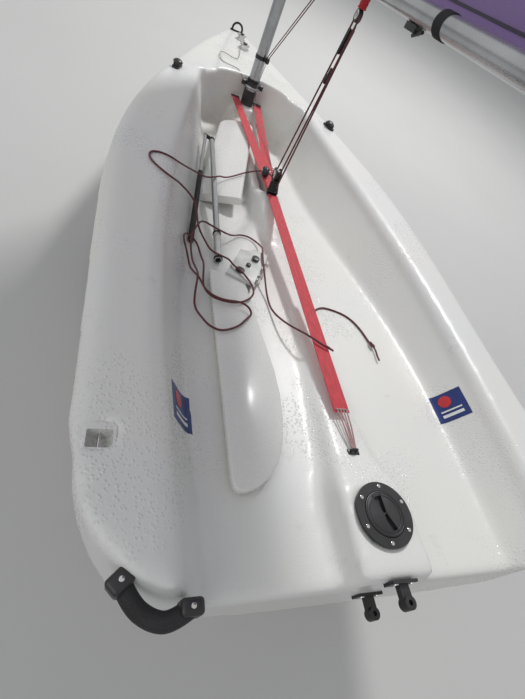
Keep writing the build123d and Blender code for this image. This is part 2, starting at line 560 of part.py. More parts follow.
def make_cradle(hull):
    """Two padded bearers under the bilges and a chock under the bow, cut to the hull's shape."""
    pads = []
    for side in (-1, 1):
        x, y = side * PAD_X, PAD_Y
        _, gy, gz = to_ground(x, y, bottom_z(x, y))
        post = Pos(x, (gy + AXLE_Y) / 2, (AXLE_Z + 8 + gz) / 2) * Box(46, 60, gz - AXLE_Z - 8)
        pad = Pos(x, gy, gz) * Box(120, 300, 56)
        block = post + pad
        block -= tube((-900, AXLE_Y, AXLE_Z), (900, AXLE_Y, AXLE_Z), AXLE_D)
        pads.append(biggest(block - hull))
    y = CHOCK_Y
    _, gy, gz = to_ground(0, y, bottom_z(0, y))
    chock = Pos(0, gy, gz + 16) * Box(150, 90, 70)
    spine_z = AXLE_Z + (HANDLE_D / 2 + 8 - AXLE_Z) * (gy - AXLE_Y) / (HANDLE_Y - AXLE_Y)
    chock += Pos(0, gy, (spine_z + gz) / 2) * Box(50, 50, gz - spine_z)
    chock -= tube((0, AXLE_Y, AXLE_Z), (0, HANDLE_Y, HANDLE_D / 2 + 8), SPINE_D)
    return pads, biggest(chock - hull)


PAD_X, PAD_Y, CHOCK_Y = 330.0, 1500.0, 3330.0


def centring():
    """The move along y that brings the middle of the whole to y = 0."""
    boxes = [shape.bounding_box() for shape in PARTS.values()]
    low, high = min(box.min.Y for box in boxes), max(box.max.Y for box in boxes)
    return Pos(0, -(low + high) / 2, 0)


def build():
    hull = make_hull()
    boat("hull", hull)
    boat("mast_collar", biggest(make_collar() - hull))
    ring, lid = make_hatch()
    boat("hatch_ring", ring)
    boat("hatch_lid", lid)
    boat("gudgeon_upper", make_gudgeon(GUDGEON_Z, 64))
    boat("gudgeon_lower", make_gudgeon(GUDGEON_LOW_Z, 64))
    boat("bow_handle", biggest(make_bow_handle() - hull))
    drum, turning = make_foredeck_gear()
    boat("furler_drum", biggest(drum - hull))
    boat("tack_block", biggest(turning - hull))
    base, ratchet = make_ratchet()
    boat("sheet_post", biggest(base - hull))
    boat("ratchet_block", biggest(ratchet - base))
    boat("cam_cleat", biggest(make_cam_cleat() - hull))
    boat("daggerboard", make_board())
    blade, stock = make_rudder()
    boat("rudder_blade", blade)
    boat("rudder_stock", stock)
    tiller, sleeve, stick, grip, joint = make_tiller()
    boat("tiller", tiller)
    boat("tiller_sleeve", sleeve)
    boat("tiller_extension", stick)
    boat("extension_grip", grip)
    boat("tiller_joint", joint)
    boat("toe_strap_rear", strap(STRAP_REAR_A, STRAP_REAR_B))
    for side, word in ((-1, "port"), (1, "starboard")):
        x, y, z = STRAP_FRONT
        back = (side * STRAP_BACK[0], STRAP_BACK[1], STRAP_BACK[2] - side * (STRAP_T + 0.6) / 2)
        boat("toe_strap_" + word, biggest(strap((side * x, y, z - side * (STRAP_T + 0.6) / 2), back) - hull))
        boat("pocket_bar_" + word, make_pocket_bar(side))
        boat("fairlead_" + word, biggest(make_fairlead(side) - hull))
        boat("stern_handle_" + word, make_stern_handle(side) - hull)
        tyre, rim = make_wheel(side)
        ground("tyre_" + word, tyre)
        ground("rim_" + word, rim)
    foot, lower, upper, ring, cap = make_mast()
    boat("mast_foot", foot)
    boat("mast_lower", lower)
    boat("mast_upper", upper)
    boat("mast_joint", ring)
    boat("mast_cap", cap)
    boom = tube((0, MAST_Y - BOOM_START, BOOM_Z), (0, MAST_Y - BOOM_START - BOOM_LENGTH, BOOM_Z), BOOM_D, BOOM_WALL)
    strop, block = make_boom_block()
    low, high = make_kicker()
    for name, shape in (("boom", boom), ("gooseneck", make_gooseneck()), ("boom_end", make_boom_caps()),
                        ("sheet_strop", strop), ("boom_block", block), ("boom_cleat", make_boom_cleat()),
                        ("kicker_lower_block", low), ("kicker_upper_block", high), ("sail", make_sail())):
        boat(name, out_on_boom(shape))
    axle, spine, bar = make_trolley()
    pads, chock = make_cradle(on_boat(hull))
    ground("trolley_axle", axle)
    ground("trolley_spine", spine)
    ground("trolley_handle", bar)
    ground("cradle_pad_port", pads[0])
    ground("cradle_pad_starboard", pads[1])
    ground("bow_chock", chock)


if __name__ == "__main__":
    build()
    shift = centring()
    os.makedirs("parts", exist_ok=True)
    for name, shape in PARTS.items():
        export_step(shift * shape, f"parts/{name}.step")
        print(name, round(shape.volume / 1e6, 3), "litres")
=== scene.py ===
"""Looks of a single-handed sailing dinghy on its launching trolley, laid out as an add-on."""
from math import cos, radians, sin

import bpy
from mathutils import Matrix, Vector


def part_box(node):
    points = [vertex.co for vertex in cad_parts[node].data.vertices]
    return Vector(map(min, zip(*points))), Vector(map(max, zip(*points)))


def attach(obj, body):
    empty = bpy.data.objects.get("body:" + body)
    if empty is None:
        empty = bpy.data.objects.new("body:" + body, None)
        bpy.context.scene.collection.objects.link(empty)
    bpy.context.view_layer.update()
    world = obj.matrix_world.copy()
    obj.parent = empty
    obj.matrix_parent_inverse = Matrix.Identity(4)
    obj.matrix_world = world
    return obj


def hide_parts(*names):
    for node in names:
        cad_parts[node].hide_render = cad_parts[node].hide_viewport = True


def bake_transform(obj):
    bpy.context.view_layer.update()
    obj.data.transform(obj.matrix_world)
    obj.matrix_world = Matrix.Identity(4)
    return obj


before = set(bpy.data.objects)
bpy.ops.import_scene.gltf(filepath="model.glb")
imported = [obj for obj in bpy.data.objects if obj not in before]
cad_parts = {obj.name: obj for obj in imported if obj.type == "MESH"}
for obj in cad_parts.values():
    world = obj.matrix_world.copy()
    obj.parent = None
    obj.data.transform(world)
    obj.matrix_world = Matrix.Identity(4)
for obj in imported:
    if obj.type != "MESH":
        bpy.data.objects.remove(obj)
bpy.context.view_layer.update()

bl_info = {
    "name": "Sailing dinghy",
    "version": (1, 0, 0),
    "blender": (4, 5, 0),
    "location": "View3D > Sidebar > Dinghy",
    "description": "Finishes a sailing dinghy on its launching trolley",
    "category": "Object",
}

# How the boat stands: bow-down angle, the gunwale's height at the transom, the transom's place along the row
TRIM = radians(7.2)
STERN_HEIGHT = 0.922
STERN_Y = sum(corner.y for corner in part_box("trolley_axle")) / 2 - 1.450

# Places in the boat's frame, millimetres, and how far the boom has swung out at rest
MAST_Y, MAST_RADIUS = 2690, 32.5
BOOM_Z, BOOM_RADIUS = 684, 28.5
BOOM_ANGLE = radians(2.0)
HATCH_Y = 130

# The camera: where it stands, and its right, down and forward directions
CAMERA_AT = Vector((-0.6343, STERN_Y - 0.0162, 1.6097))
CAMERA_RIGHT = Vector((0.917880, -0.095785, 0.385126))
CAMERA_DOWN = Vector((0.133623, -0.839181, -0.527181))
CAMERA_FORWARD = Vector((0.373686, 0.535350, -0.757469))
CAMERA_LENS = 20.275

# Free end of the mainsheet, in the boat's frame, millimetres
ROPE_ROUTE = [
    (-41, 1753, -82), (-60, 1753, -87), (-90, 1756, -103), (-122, 1750, -117), (-149, 1730, -124),
    (-209, 1693, -140), (-249, 1659, -125), (-271, 1625, -119), (-310, 1615, -128), (-340, 1589, -113),
    (-379, 1565, -93), (-403, 1523, -70), (-443, 1457, -32), (-468, 1413, -7), (-497, 1396, 11),
    (-536, 1406, 12), (-571, 1388, 12), (-575, 1348, 12), (-557, 1310, 11.5), (-518, 1266, 11),
    (-485, 1267, -3), (-465, 1290, -21), (-438, 1299, -41), (-413, 1302, -59), (-388, 1283, -77),
    (-378, 1243, -94), (-371, 1192, -117), (-343, 1154, -140), (-316, 1116, -156), (-283, 1086, -146),
    (-254, 1060, -136), (-246, 1024, -131), (-213, 990, -127), (-179, 921, -131), (-191, 869, -132),
    (-250, 821, -130), (-332, 826, -130), (-362, 869, -132), (-359, 928, -136), (-349, 1020, -144),
    (-347, 1094, -178), (-362, 1151, -163), (-392, 1168, -146), (-419, 1148, -129), (-423, 1108, -128),
    (-410, 1075, -144), (-395, 1015, -168), (-390, 967, -148), (-374, 910, -126), (-364, 857, -120),
    (-339, 827, -119), (-299, 814, -118), (-246, 822, -119), (-216, 808, -122), (-208, 780, -126),
    (-228, 757, -126), (-262, 712, -123), (-318, 680, -122), (-354, 694, -123), (-370, 728, -132),
    (-389, 797, -156), (-390, 844, -137), (-382, 910, -113), (-381, 952, -130), (-388, 1023, -152),
    (-393, 1071, -147), (-397, 1130, -129), (-374, 1191, -102), (-349, 1229, -111), (-306, 1239, -131),
    (-260, 1236, -142), (-224, 1259, -162), (-188, 1306, -187), (-161, 1338, -197), (-121, 1340, -197),
    (-91, 1312, -195), (-79, 1255, -177), (-100, 1188, -143), (-115, 1115, -134), (-120, 1020, -140),
    (-115, 930, -166), (-112, 853, -161), (-89, 761, -123), (-52, 708, -98), (-28, 680, -89), (0, 660, -90),
    (28, 645, -90), (46, 650, -101), (50, 676, -119), (44, 715, -138), (34, 770, -152), (36, 825, -163),
    (50, 868, -168), (80, 912, -170), (120, 940, -172), (168, 936, -172), (216, 920, -171),
    (246, 888, -168), (264, 842, -165), (271, 806, -163), (275, 778, -160),
]

BOAT = Matrix.Translation((0, STERN_Y, STERN_HEIGHT)) @ Matrix.Rotation(-TRIM, 4, "X")


def boat(x, y, z):
    """A point of the boat's frame, in millimetres, as a point of the row, in metres."""
    return BOAT @ Vector((x / 1000, y / 1000, z / 1000))


# Directions: up, forward and aft as the boat stands, and to starboard
UP = boat(0, 0, 1) - boat(0, 0, 0)
AHEAD = boat(0, 1, 0) - boat(0, 0, 0)
AFT = boat(0, -1, 0) - boat(0, 0, 0)
RIGHT = Vector((1, 0, 0))


def on_boom(x, y, z):
    """A point of the boat's frame that swings with the boom to its angle at rest."""
    turned = Matrix.Rotation(BOOM_ANGLE, 3, "Z") @ Vector((x, y - MAST_Y, 0))
    return boat(turned.x, turned.y + MAST_Y, z)


def clear():
    """Leave edit mode and deselect everything."""
    if bpy.context.object and bpy.context.object.mode != "OBJECT":
        bpy.ops.object.mode_set(mode="OBJECT")
    bpy.ops.object.select_all(action="DESELECT")


def only(piece):
    """Make one piece the selected and active object."""
    clear()
    piece.select_set(True)
    bpy.context.view_layer.objects.active = piece
    return piece


def applied(piece, **settings):
    """Add one modifier with its settings and apply it."""
    only(piece)
    kind = settings.pop("kind")
    modifier = piece.modifiers.new(kind.title(), kind)
    for key, value in settings.items():
        setattr(modifier, key, value)
    bpy.ops.object.modifier_apply(modifier=modifier.name)
    return piece


def settled(piece, name, body, finish, slot=None, smooth=40):
    """Name a finished piece, put its place into its mesh, and give it its finish and body; its slot is looked
    up but not kept.
    """
    if isinstance(piece, list):
        piece = joined(piece)
    only(piece)
    if piece.type == "MESH":
        bpy.ops.object.transform_apply(location=True, rotation=True, scale=True)
        bpy.ops.object.shade_smooth_by_angle(angle=radians(smooth))
    piece.name = name
    piece.data.name = name
    piece.data.materials.clear()
    piece.data.materials.append(FINISHES[finish])
    if body:
        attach(piece, body)
    slot = slot or SLOTS[finish]
    return piece


def joined(pieces):
    """Join several pieces into the first."""
    clear()
    for piece in pieces:
        piece.select_set(True)
    bpy.context.view_layer.objects.active = pieces[0]
    bpy.ops.object.join()
    return pieces[0]


def aimed(direction):
    """The turn that brings +Z onto a direction."""
    return direction.to_track_quat("Z", "Y").to_matrix().to_euler()


def turned_part(place, direction, radius, depth, sides, bevel):
    """A short bar or disc along a direction, its rims bevelled."""
    clear()
    bpy.ops.mesh.primitive_cylinder_add(vertices=sides, radius=radius, depth=depth, location=place,
                                        rotation=aimed(direction))
    return rounded_edges(bpy.context.object, bevel)


def edited(piece, operator, **settings):
    """Run one operator on all of a piece in edit mode."""
    only(piece)
    bpy.ops.object.mode_set(mode="EDIT")
    bpy.ops.mesh.select_all(action="SELECT")
    operator(**settings)
    bpy.ops.object.mode_set(mode="OBJECT")


def rounded_edges(piece, width, segments=2):
    """Bevel all the sharp edges of a piece in edit mode."""
    only(piece)
    bpy.ops.object.mode_set(mode="EDIT")
    bpy.ops.mesh.select_all(action="DESELECT")
    bpy.ops.mesh.select_mode(type="EDGE")
    bpy.ops.mesh.edges_select_sharp(sharpness=radians(40))
    bpy.ops.mesh.bevel(offset=width, segments=segments)
    bpy.ops.object.mode_set(mode="OBJECT")
    return piece


def block(place, size, turn=(0, 0, 0), bevel=0.002, segments=2):
    """A box with rounded edges, its size along its own axes."""
    clear()
    bpy.ops.mesh.primitive_cube_add(size=1, location=place, rotation=turn)
    piece = bpy.context.object
    piece.scale = size
    only(piece)
    bpy.ops.object.transform_apply(location=False, rotation=False, scale=True)
    return rounded_edges(piece, bevel, segments)


def lump(place, radius, stretch, segments, rings):
    """A ball stretched along the row's axes."""
    clear()
    bpy.ops.mesh.primitive_uv_sphere_add(segments=segments, ring_count=rings, radius=radius, location=place)
    piece = only(bpy.context.object)
    piece.scale = stretch
    bpy.ops.object.transform_apply(location=False, rotation=False, scale=True)
    return piece


def ring(place, direction, radius, thickness, sides=40, around=14):
    """A round ring about a direction."""
    clear()
    bpy.ops.mesh.primitive_torus_add(major_radius=radius, minor_radius=thickness, major_segments=sides,
                                     minor_segments=around, location=place, rotation=aimed(direction))
    return bpy.context.object


def line_of(points, diameter, resolution):
    """A smooth line along points, as a curve with a round section."""
    curve = bpy.data.curves.new("line", "CURVE")
    curve.dimensions = "3D"
    curve.bevel_depth = diameter / 2
    curve.bevel_resolution = 3
    curve.resolution_u = resolution
    curve.use_fill_caps = True
    spline = curve.splines.new("NURBS")
    spline.points.add(len(points) - 1)
    for point, place in zip(spline.points, points):
        point.co = (*place, 1)
    spline.order_u = 3
    spline.use_endpoint_u = True
    piece = bpy.data.objects.new("line", curve)
    bpy.context.collection.objects.link(piece)
    return piece


def solid_line(points, diameter, resolution=6):
    """The same line as a mesh, for a line that is held at both ends."""
    only(line_of(points, diameter, resolution))
    bpy.ops.object.convert(target="MESH")
    return bpy.context.object


def along(start, end, count):
    """Points evenly between two places."""
    return [start.lerp(end, k / (count - 1)) for k in range(count)]


def band(stations, width, thickness, across=6, per_run=6):
    """A flat band through stations, each a place and the way across it, with its UV along and across."""
    places = [s[0] for s in stations]
    ways = [s[1].normalized() for s in stations]
    rows = []
    for k in range(len(places) - 1):
        for step in range(per_run):
            rows.append((k, step / per_run))
    rows.append((len(places) - 2, 1.0))
    clear()
    total = len(rows) - 1
    bpy.ops.mesh.primitive_grid_add(x_subdivisions=across, y_subdivisions=total, size=1, calc_uvs=True)
    piece = bpy.context.object
    for vertex in piece.data.vertices:
        u, v = vertex.co.x, vertex.co.y + 0.5
        k, share = rows[round(v * total)]
        place = curved(places, k, share)
        way = ways[k].lerp(ways[k + 1], share)
        vertex.co = place + way * (u * width)
    applied(piece, kind="SOLIDIFY", thickness=thickness, offset=0.0, use_even_offset=True)
    return piece


def curved(places, k, share):
    """A point between two of several places, on a gentle curve through all of them."""
    before = places[max(k - 1, 0)]
    after = places[min(k + 2, len(places) - 1)]
    a, b = places[k], places[k + 1]
    reach = 0.12
    lean_a = (b - before).normalized() * (b - a).length * reach
    lean_b = (after - a).normalized() * (b - a).length * reach
    p, q, t = a + lean_a, b - lean_b, share
    return a * (1 - t) ** 3 + p * 3 * t * (1 - t) ** 2 + q * 3 * t * t * (1 - t) + b * t ** 3


# Finishes

FINISHES = {}

# The slot named for each finish, looked up when a piece is settled but not kept
SLOTS = {
    "moulding": "hull_moulding", "badge": "hull_moulding", "badge_red": "hull_moulding",
    "badge_white": "hull_moulding", "foil": "white_foil", "plastic": "black_plastic",
    "rubber": "black_rubber", "steel": "stainless", "alloy": "grey_alloy", "zinc": "galvanised",
    "webbing": "red_webbing", "webbing_end": "red_webbing", "strop": "red_webbing",
    "line": "black_webbing", "fall": "black_webbing", "thin": "black_webbing",
    "pale_line": "black_webbing", "sail": "sailcloth", "dark_cloth": "sailcloth",
}


class Nodes:
    """A material's nodes, joined one after another."""

    def __init__(self, name):
        self.material = bpy.data.materials.new(name)
        self.material.use_nodes = True
        self.tree = self.material.node_tree
        self.shader = self.tree.nodes["Principled BSDF"]

    def set(self, **values):
        for key, value in values.items():
            self.shader.inputs[key.replace("_", " ")].default_value = value

    def add(self, kind, inputs=None, **settings):
        node = self.tree.nodes.new(kind)
        for key, value in settings.items():
            setattr(node, key, value)
        for key, value in (inputs or {}).items():
            if isinstance(value, bpy.types.NodeSocket):
                self.tree.links.new(value, node.inputs[key])
            else:
                node.inputs[key].default_value = value
        return node

    def place(self, source="Object", scale=(1, 1, 1), turn=(0, 0, 0)):
        found = self.add("ShaderNodeTexCoord")
        return self.add("ShaderNodeMapping", {"Vector": found.outputs[source], "Scale": scale,
                                              "Rotation": turn}).outputs[0]

    def noise(self, at, scale, detail=4.0, rough=0.55):
        return self.add("ShaderNodeTexNoise", {"Vector": at, "Scale": scale, "Detail": detail,
                                               "Roughness": rough}).outputs["Fac"]

    def cells(self, at, scale, feature="F1"):
        node = self.add("ShaderNodeTexVoronoi", {"Vector": at, "Scale": scale}, feature=feature)
        return node.outputs["Distance"]

    def wave(self, at, scale, distortion=0.0, profile="SIN"):
        return self.add("ShaderNodeTexWave", {"Vector": at, "Scale": scale, "Distortion": distortion},
                        wave_profile=profile).outputs["Fac"]

    def sums(self, a, b, operation="MULTIPLY"):
        return self.add("ShaderNodeMath", {0: a, 1: b}, operation=operation).outputs[0]

    def span(self, value, low, high, to_low=0.0, to_high=1.0):
        return self.add("ShaderNodeMapRange", {"Value": value, "From Min": low, "From Max": high,
                                               "To Min": to_low, "To Max": to_high}).outputs[0]

    def blend(self, share, a, b):
        return self.add("ShaderNodeMix", {0: share, 6: a, 7: b}, data_type="RGBA").outputs[2]

    def colour(self, socket):
        self.tree.links.new(socket, self.shader.inputs["Base Color"])

    def rough(self, value, low, high):
        self.tree.links.new(self.span(value, 0.3, 0.7, low, high), self.shader.inputs["Roughness"])

    def relief(self, *heights):
        """Bump from one or more (height, strength, distance)."""
        normal = None
        for height, strength, distance in heights:
            inputs = {"Height": height, "Strength": strength, "Distance": distance}
            if normal is not None:
                inputs["Normal"] = normal
            normal = self.add("ShaderNodeBump", inputs).outputs[0]
        self.tree.links.new(normal, self.shader.inputs["Normal"])


def tone(colour, factor):
    return (*[min(c * factor, 1.0) for c in colour[:3]], 1.0)


def mottled(name, colour, low=0.8, high=1.1, scale=9.0, rough=(0.35, 0.55), grain=(900.0, 0.15, 0.0004),
            metallic=0.0, stretch=(1, 1, 1), **more):
    """A finish of one colour with slow variation, changing gloss and a fine grain."""
    n = Nodes(name)
    at = n.place()
    slow = n.noise(at, scale)
    n.colour(n.blend(n.span(slow, 0.3, 0.7), tone(colour, low), tone(colour, high)))
    fine = n.noise(n.place(scale=stretch), grain[0], detail=3.0)
    n.rough(n.sums(slow, fine) if metallic else fine, *rough)
    n.relief((fine, grain[1], grain[2]))
    n.set(Metallic=metallic, **more)
    return n.material


def moulding_finish(name, colour):
    """White rotomoulded plastic: pebbled skin, cream and grey shading, rain drops in patches."""
    n = Nodes(name)
    at = n.place()
    slow = n.noise(at, 1.7)
    dirt = n.noise(at, 14.0, detail=8.0, rough=0.65)
    cream = (colour[0], colour[1] * 0.985, colour[2] * 0.945, 1)
    base = n.blend(n.span(slow, 0.35, 0.65), tone(colour, 0.97), cream)
    grey = n.blend(n.span(dirt, 0.62, 0.8), base, tone(colour, 0.8))
    specks = n.span(n.cells(at, 170.0), 0.0, 0.12, 1.0, 0.0)
    speck_mask = n.sums(specks, n.span(n.noise(at, 30.0), 0.6, 0.68))
    n.colour(n.blend(speck_mask, grey, tone(colour, 0.45)))
    pebble = n.cells(at, 330.0, feature="SMOOTH_F1")
    drop = n.span(n.cells(at, 120.0), 0.12, 0.42, 1.0, 0.0)
    wet = n.span(n.noise(at, 2.6), 0.5, 0.6)
    drops = n.sums(drop, wet)
    n.tree.links.new(n.span(drops, 0.1, 0.4, 0.36, 0.08), n.shader.inputs["Roughness"])
    n.relief((pebble, 0.28, 0.0012), (drops, 0.55, 0.0022))
    n.set(Coat_Weight=0.15, Coat_Roughness=0.2)
    return n.material


def webbing_finish(name, colour, pale):
    """Woven strap: ribs across, twill along its edges, pale flecks; UV runs along the strap."""
    n = Nodes(name)
    ribs = n.wave(n.place("UV", (0, 150, 1), (0, 0, radians(90))), 1.0)
    twill = n.noise(n.place("UV", (16, 170, 1), (0, 0, 0.6)), 3.0, detail=2.0)
    fleck = n.span(n.noise(n.place("UV", (24, 300, 1)), 2.4, detail=5.0), 0.6, 0.7)
    worn = n.noise(n.place("UV", (3, 14, 1)), 2.0)
    base = n.blend(n.span(worn, 0.3, 0.7), tone(colour, 0.72), tone(colour, 1.15))
    n.colour(n.blend(n.sums(fleck, 0.4), base, pale))
    n.rough(twill, 0.62, 0.85)
    n.relief((ribs, 0.35, 0.0006), (twill, 0.5, 0.0008))
    n.set(Sheen_Weight=0.08)
    return n.material


def braid_finish(name, colour, pale, turns, length):
    """Braided line: two sets of strands that cross, painted shade in the grooves between them, and flecks; UV
    runs along and around it.
    """
    n = Nodes(name)
    count = length / 0.006
    left = n.wave(n.place("UV", (count, turns, 1), (0, 0, radians(45))), 2.2)
    right = n.wave(n.place("UV", (count, turns, 1), (0, 0, radians(-45))), 2.2)
    strands = n.sums(left, right, "MAXIMUM")
    fleck = n.span(n.noise(n.place("UV", (count, turns * 2, 1)), 1.4, detail=4.0), 0.58, 0.68)
    # Painted shade: the colour follows the strands' relief, darker in the grooves and lighter on the crowns.
    base = n.blend(strands, tone(colour, 0.45), tone(colour, 1.25))
    n.colour(n.blend(n.sums(fleck, 0.5), base, pale))
    n.rough(strands, 0.6, 0.85)
    n.relief((strands, 0.6, 0.0008))
    n.set(Sheen_Weight=0.2)
    return n.material


def cloth_finish(name, colour):
    """Coated sailcloth: faint weave, creases with painted shade in their hollows, and a light sheen."""
    n = Nodes(name)
    crease = n.noise(n.place(scale=(1, 3, 1)), 3.2, detail=6.0)
    panels = n.span(n.wave(n.place(scale=(0, 0.12, 1)), 0.9, 0.0, "SAW"), 0.0, 0.012, 1.0, 0.0)
    warp = n.wave(n.place(scale=(0, 900, 0)), 1.0)
    weft = n.wave(n.place(scale=(0, 0, 900), turn=(0, radians(90), 0)), 1.0)
    weave = n.sums(warp, weft)
    # Painted shade: the cloth's colour is darker where the creases' height is low and lighter on their
    # ridges.
    base = n.blend(n.span(crease, 0.3, 0.7), tone(colour, 0.88), tone(colour, 1.1))
    n.colour(n.blend(n.sums(panels, 0.5), base, tone(colour, 0.55)))
    n.rough(crease, 0.4, 0.6)
    n.relief((crease, 0.35, 0.006), (weave, 0.15, 0.0003))
    n.set(Sheen_Weight=0.1)
    return n.material


def make_finishes(look):
    """All the finishes, named for what they are.

    A mottled one gives its colour's darkest and lightest share, the scale of the mottling, its roughness from
    and to, its grain's scale, strength and depth, how metallic it is, and how the grain is stretched.
    """
    pale = (0.5, 0.3, 0.32, 1)
    badge = (0.85, 1.15, 30.0, (0.25, 0.4))
    FINISHES.update(
        moulding=moulding_finish("hull_moulding", look.hull_colour),
        foil=mottled("white_foil", look.foil_colour, 0.94, 1.02, 5.0, (0.2, 0.34), (260.0, 0.08, 0.0006),
                     Coat_Weight=0.3, Coat_Roughness=0.12),
        plastic=mottled("black_plastic", look.fitting_colour, 0.7, 1.7, 25.0, (0.3, 0.52)),
        rubber=mottled("black_rubber", look.fitting_colour, 0.6, 1.3, 20.0, (0.6, 0.85),
                       (500.0, 0.3, 0.0008)),
        steel=mottled("stainless", (0.62, 0.61, 0.6), 0.85, 1.1, 40.0, (0.12, 0.34), (120.0, 0.06, 0.0004),
                      1.0, (1, 1, 14)),
        alloy=mottled("grey_alloy", look.spar_colour, 0.85, 1.12, 7.0, (0.26, 0.46), (160.0, 0.1, 0.0004),
                      0.85, (14, 1, 14)),
        zinc=mottled("galvanised", (0.47, 0.49, 0.5), 0.72, 1.2, 42.0, (0.3, 0.6), (70.0, 0.12, 0.0006), 0.9),
        tyre=mottled("tyre", (0.025, 0.025, 0.026), 0.7, 1.6, 18.0, (0.7, 0.92), (240.0, 0.4, 0.0015)),
        rim=mottled("wheel_rim", (0.72, 0.72, 0.69), 0.85, 1.05, 12.0, (0.35, 0.55)),
        webbing=webbing_finish("red_webbing", look.strap_colour, (0.75, 0.5, 0.5, 1)),
        webbing_end=webbing_finish("red_webbing_end", (0.035, 0.012, 0.018), (0.18, 0.05, 0.07, 1)),
        line=braid_finish("dark_red_line", look.line_colour, pale, 3, 4.6),
        fall=braid_finish("dark_red_fall", look.line_colour, pale, 3, 0.9),
        pale_line=braid_finish("pale_line", (0.5, 0.3, 0.3), (0.8, 0.75, 0.74, 1), 3, 0.13),
        strop=mottled("red_strop", (0.5, 0.02, 0.03), 0.7, 1.2, 60.0, (0.6, 0.8), (700.0, 0.4, 0.0008)),
        thin=braid_finish("grey_line", (0.16, 0.16, 0.17), (0.5, 0.5, 0.5, 1), 2, 1.0),
        sail=cloth_finish("sailcloth", look.sail_colour),
        dark_cloth=cloth_finish("dark_sailcloth", [c * 0.12 for c in look.sail_colour]),
        satin=mottled("satin_alloy", (0.6, 0.6, 0.59), 0.85, 1.1, 22.0, (0.3, 0.5), (180.0, 0.1, 0.0005),
                      0.55),
        badge=mottled("badge_blue", (0.012, 0.03, 0.16), *badge),
        badge_red=mottled("badge_red", (0.55, 0.03, 0.035), *badge),
        badge_white=mottled("badge_white", (0.8, 0.8, 0.8), 0.9, 1.0, 30.0, (0.25, 0.4)))


def dress(finish, *nodes):
    """Give CAD nodes a finish."""
    for node in nodes:
        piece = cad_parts[node]
        if not piece.data.materials:
            piece.data.materials.append(None)
        for slot in piece.material_slots:
            slot.material = FINISHES[finish]


# Sizes and colours that a user would change

class DINGHY_PG_look(bpy.types.PropertyGroup):
    """Colours of the boat."""
    hull_colour: bpy.props.FloatVectorProperty(
        name="Hull", description="Colour of the moulding", subtype="COLOR", size=3, min=0, max=1,
        default=(0.79, 0.79, 0.775))
    foil_colour: bpy.props.FloatVectorProperty(
        name="Foils", description="Colour of rudder blade and daggerboard", subtype="COLOR", size=3,
        min=0, max=1, default=(0.8, 0.79, 0.76))
    fitting_colour: bpy.props.FloatVectorProperty(
        name="Fittings", description="Colour of the plastic fittings", subtype="COLOR", size=3, min=0,
        max=1, default=(0.014, 0.014, 0.016))
    spar_colour: bpy.props.FloatVectorProperty(
        name="Spars", description="Colour of mast, boom and tiller", subtype="COLOR", size=3, min=0,
        max=1, default=(0.42, 0.43, 0.44))
    strap_colour: bpy.props.FloatVectorProperty(
        name="Straps", description="Colour of the toe straps", subtype="COLOR", size=3, min=0, max=1,
        default=(0.58, 0.045, 0.06))
    line_colour: bpy.props.FloatVectorProperty(
        name="Mainsheet", description="Colour of the mainsheet", subtype="COLOR", size=3, min=0, max=1,
        default=(0.11, 0.014, 0.02))
    sail_colour: bpy.props.FloatVectorProperty(
        name="Sail", description="Colour of the sail", subtype="COLOR", size=3, min=0, max=1,
        default=(0.30, 0.185, 0.46))


class DINGHY_PG_sizes(bpy.types.PropertyGroup):
    """Sizes of the pieces that are modelled here."""
    rope: bpy.props.FloatProperty(
        name="Mainsheet", description="Diameter of the mainsheet", unit="LENGTH", default=0.007,
        min=0.003, max=0.02)
    kicker: bpy.props.FloatProperty(
        name="Kicker line", description="Diameter of the kicker's line", unit="LENGTH", default=0.005,
        min=0.002, max=0.012)
    thin_line: bpy.props.FloatProperty(
        name="Thin line", description="Diameter of the control lines", unit="LENGTH", default=0.0035,
        min=0.001, max=0.01)
    strap_width: bpy.props.FloatProperty(
        name="Strap width", description="Width of the toe straps", unit="LENGTH", default=0.050,
        min=0.02, max=0.08)
    strap_thickness: bpy.props.FloatProperty(
        name="Strap thickness", description="Thickness of the toe straps", unit="LENGTH",
        default=0.0024, min=0.001, max=0.006)
    skin: bpy.props.FloatProperty(
        name="Hull rounding", description="Size of the hull's rounding voxel", unit="LENGTH",
        default=0.0127, min=0.008, max=0.03)
    badge: bpy.props.FloatProperty(
        name="Badge", description="Side of the square badges", unit="LENGTH", default=0.104, min=0.05,
        max=0.3)


# Operators, one for each piece or group of like pieces

class DINGHY_OT_camera(bpy.types.Operator):
    """Put the camera at the photograph's viewing angle."""
    bl_idname = "dinghy.camera"
    bl_label = "Camera"

    def execute(self, context):
        camera = bpy.data.cameras.new("camera")
        camera.lens = CAMERA_LENS
        camera.sensor_width = 36.0
        camera.clip_start = 0.02
        stand = bpy.data.objects.new("camera", camera)
        context.collection.objects.link(stand)
        axes = Matrix((CAMERA_RIGHT, -CAMERA_DOWN, -CAMERA_FORWARD)).transposed()
        stand.matrix_world = Matrix.Translation(CAMERA_AT) @ axes.to_4x4()
        context.scene.camera = stand
        return {"FINISHED"}


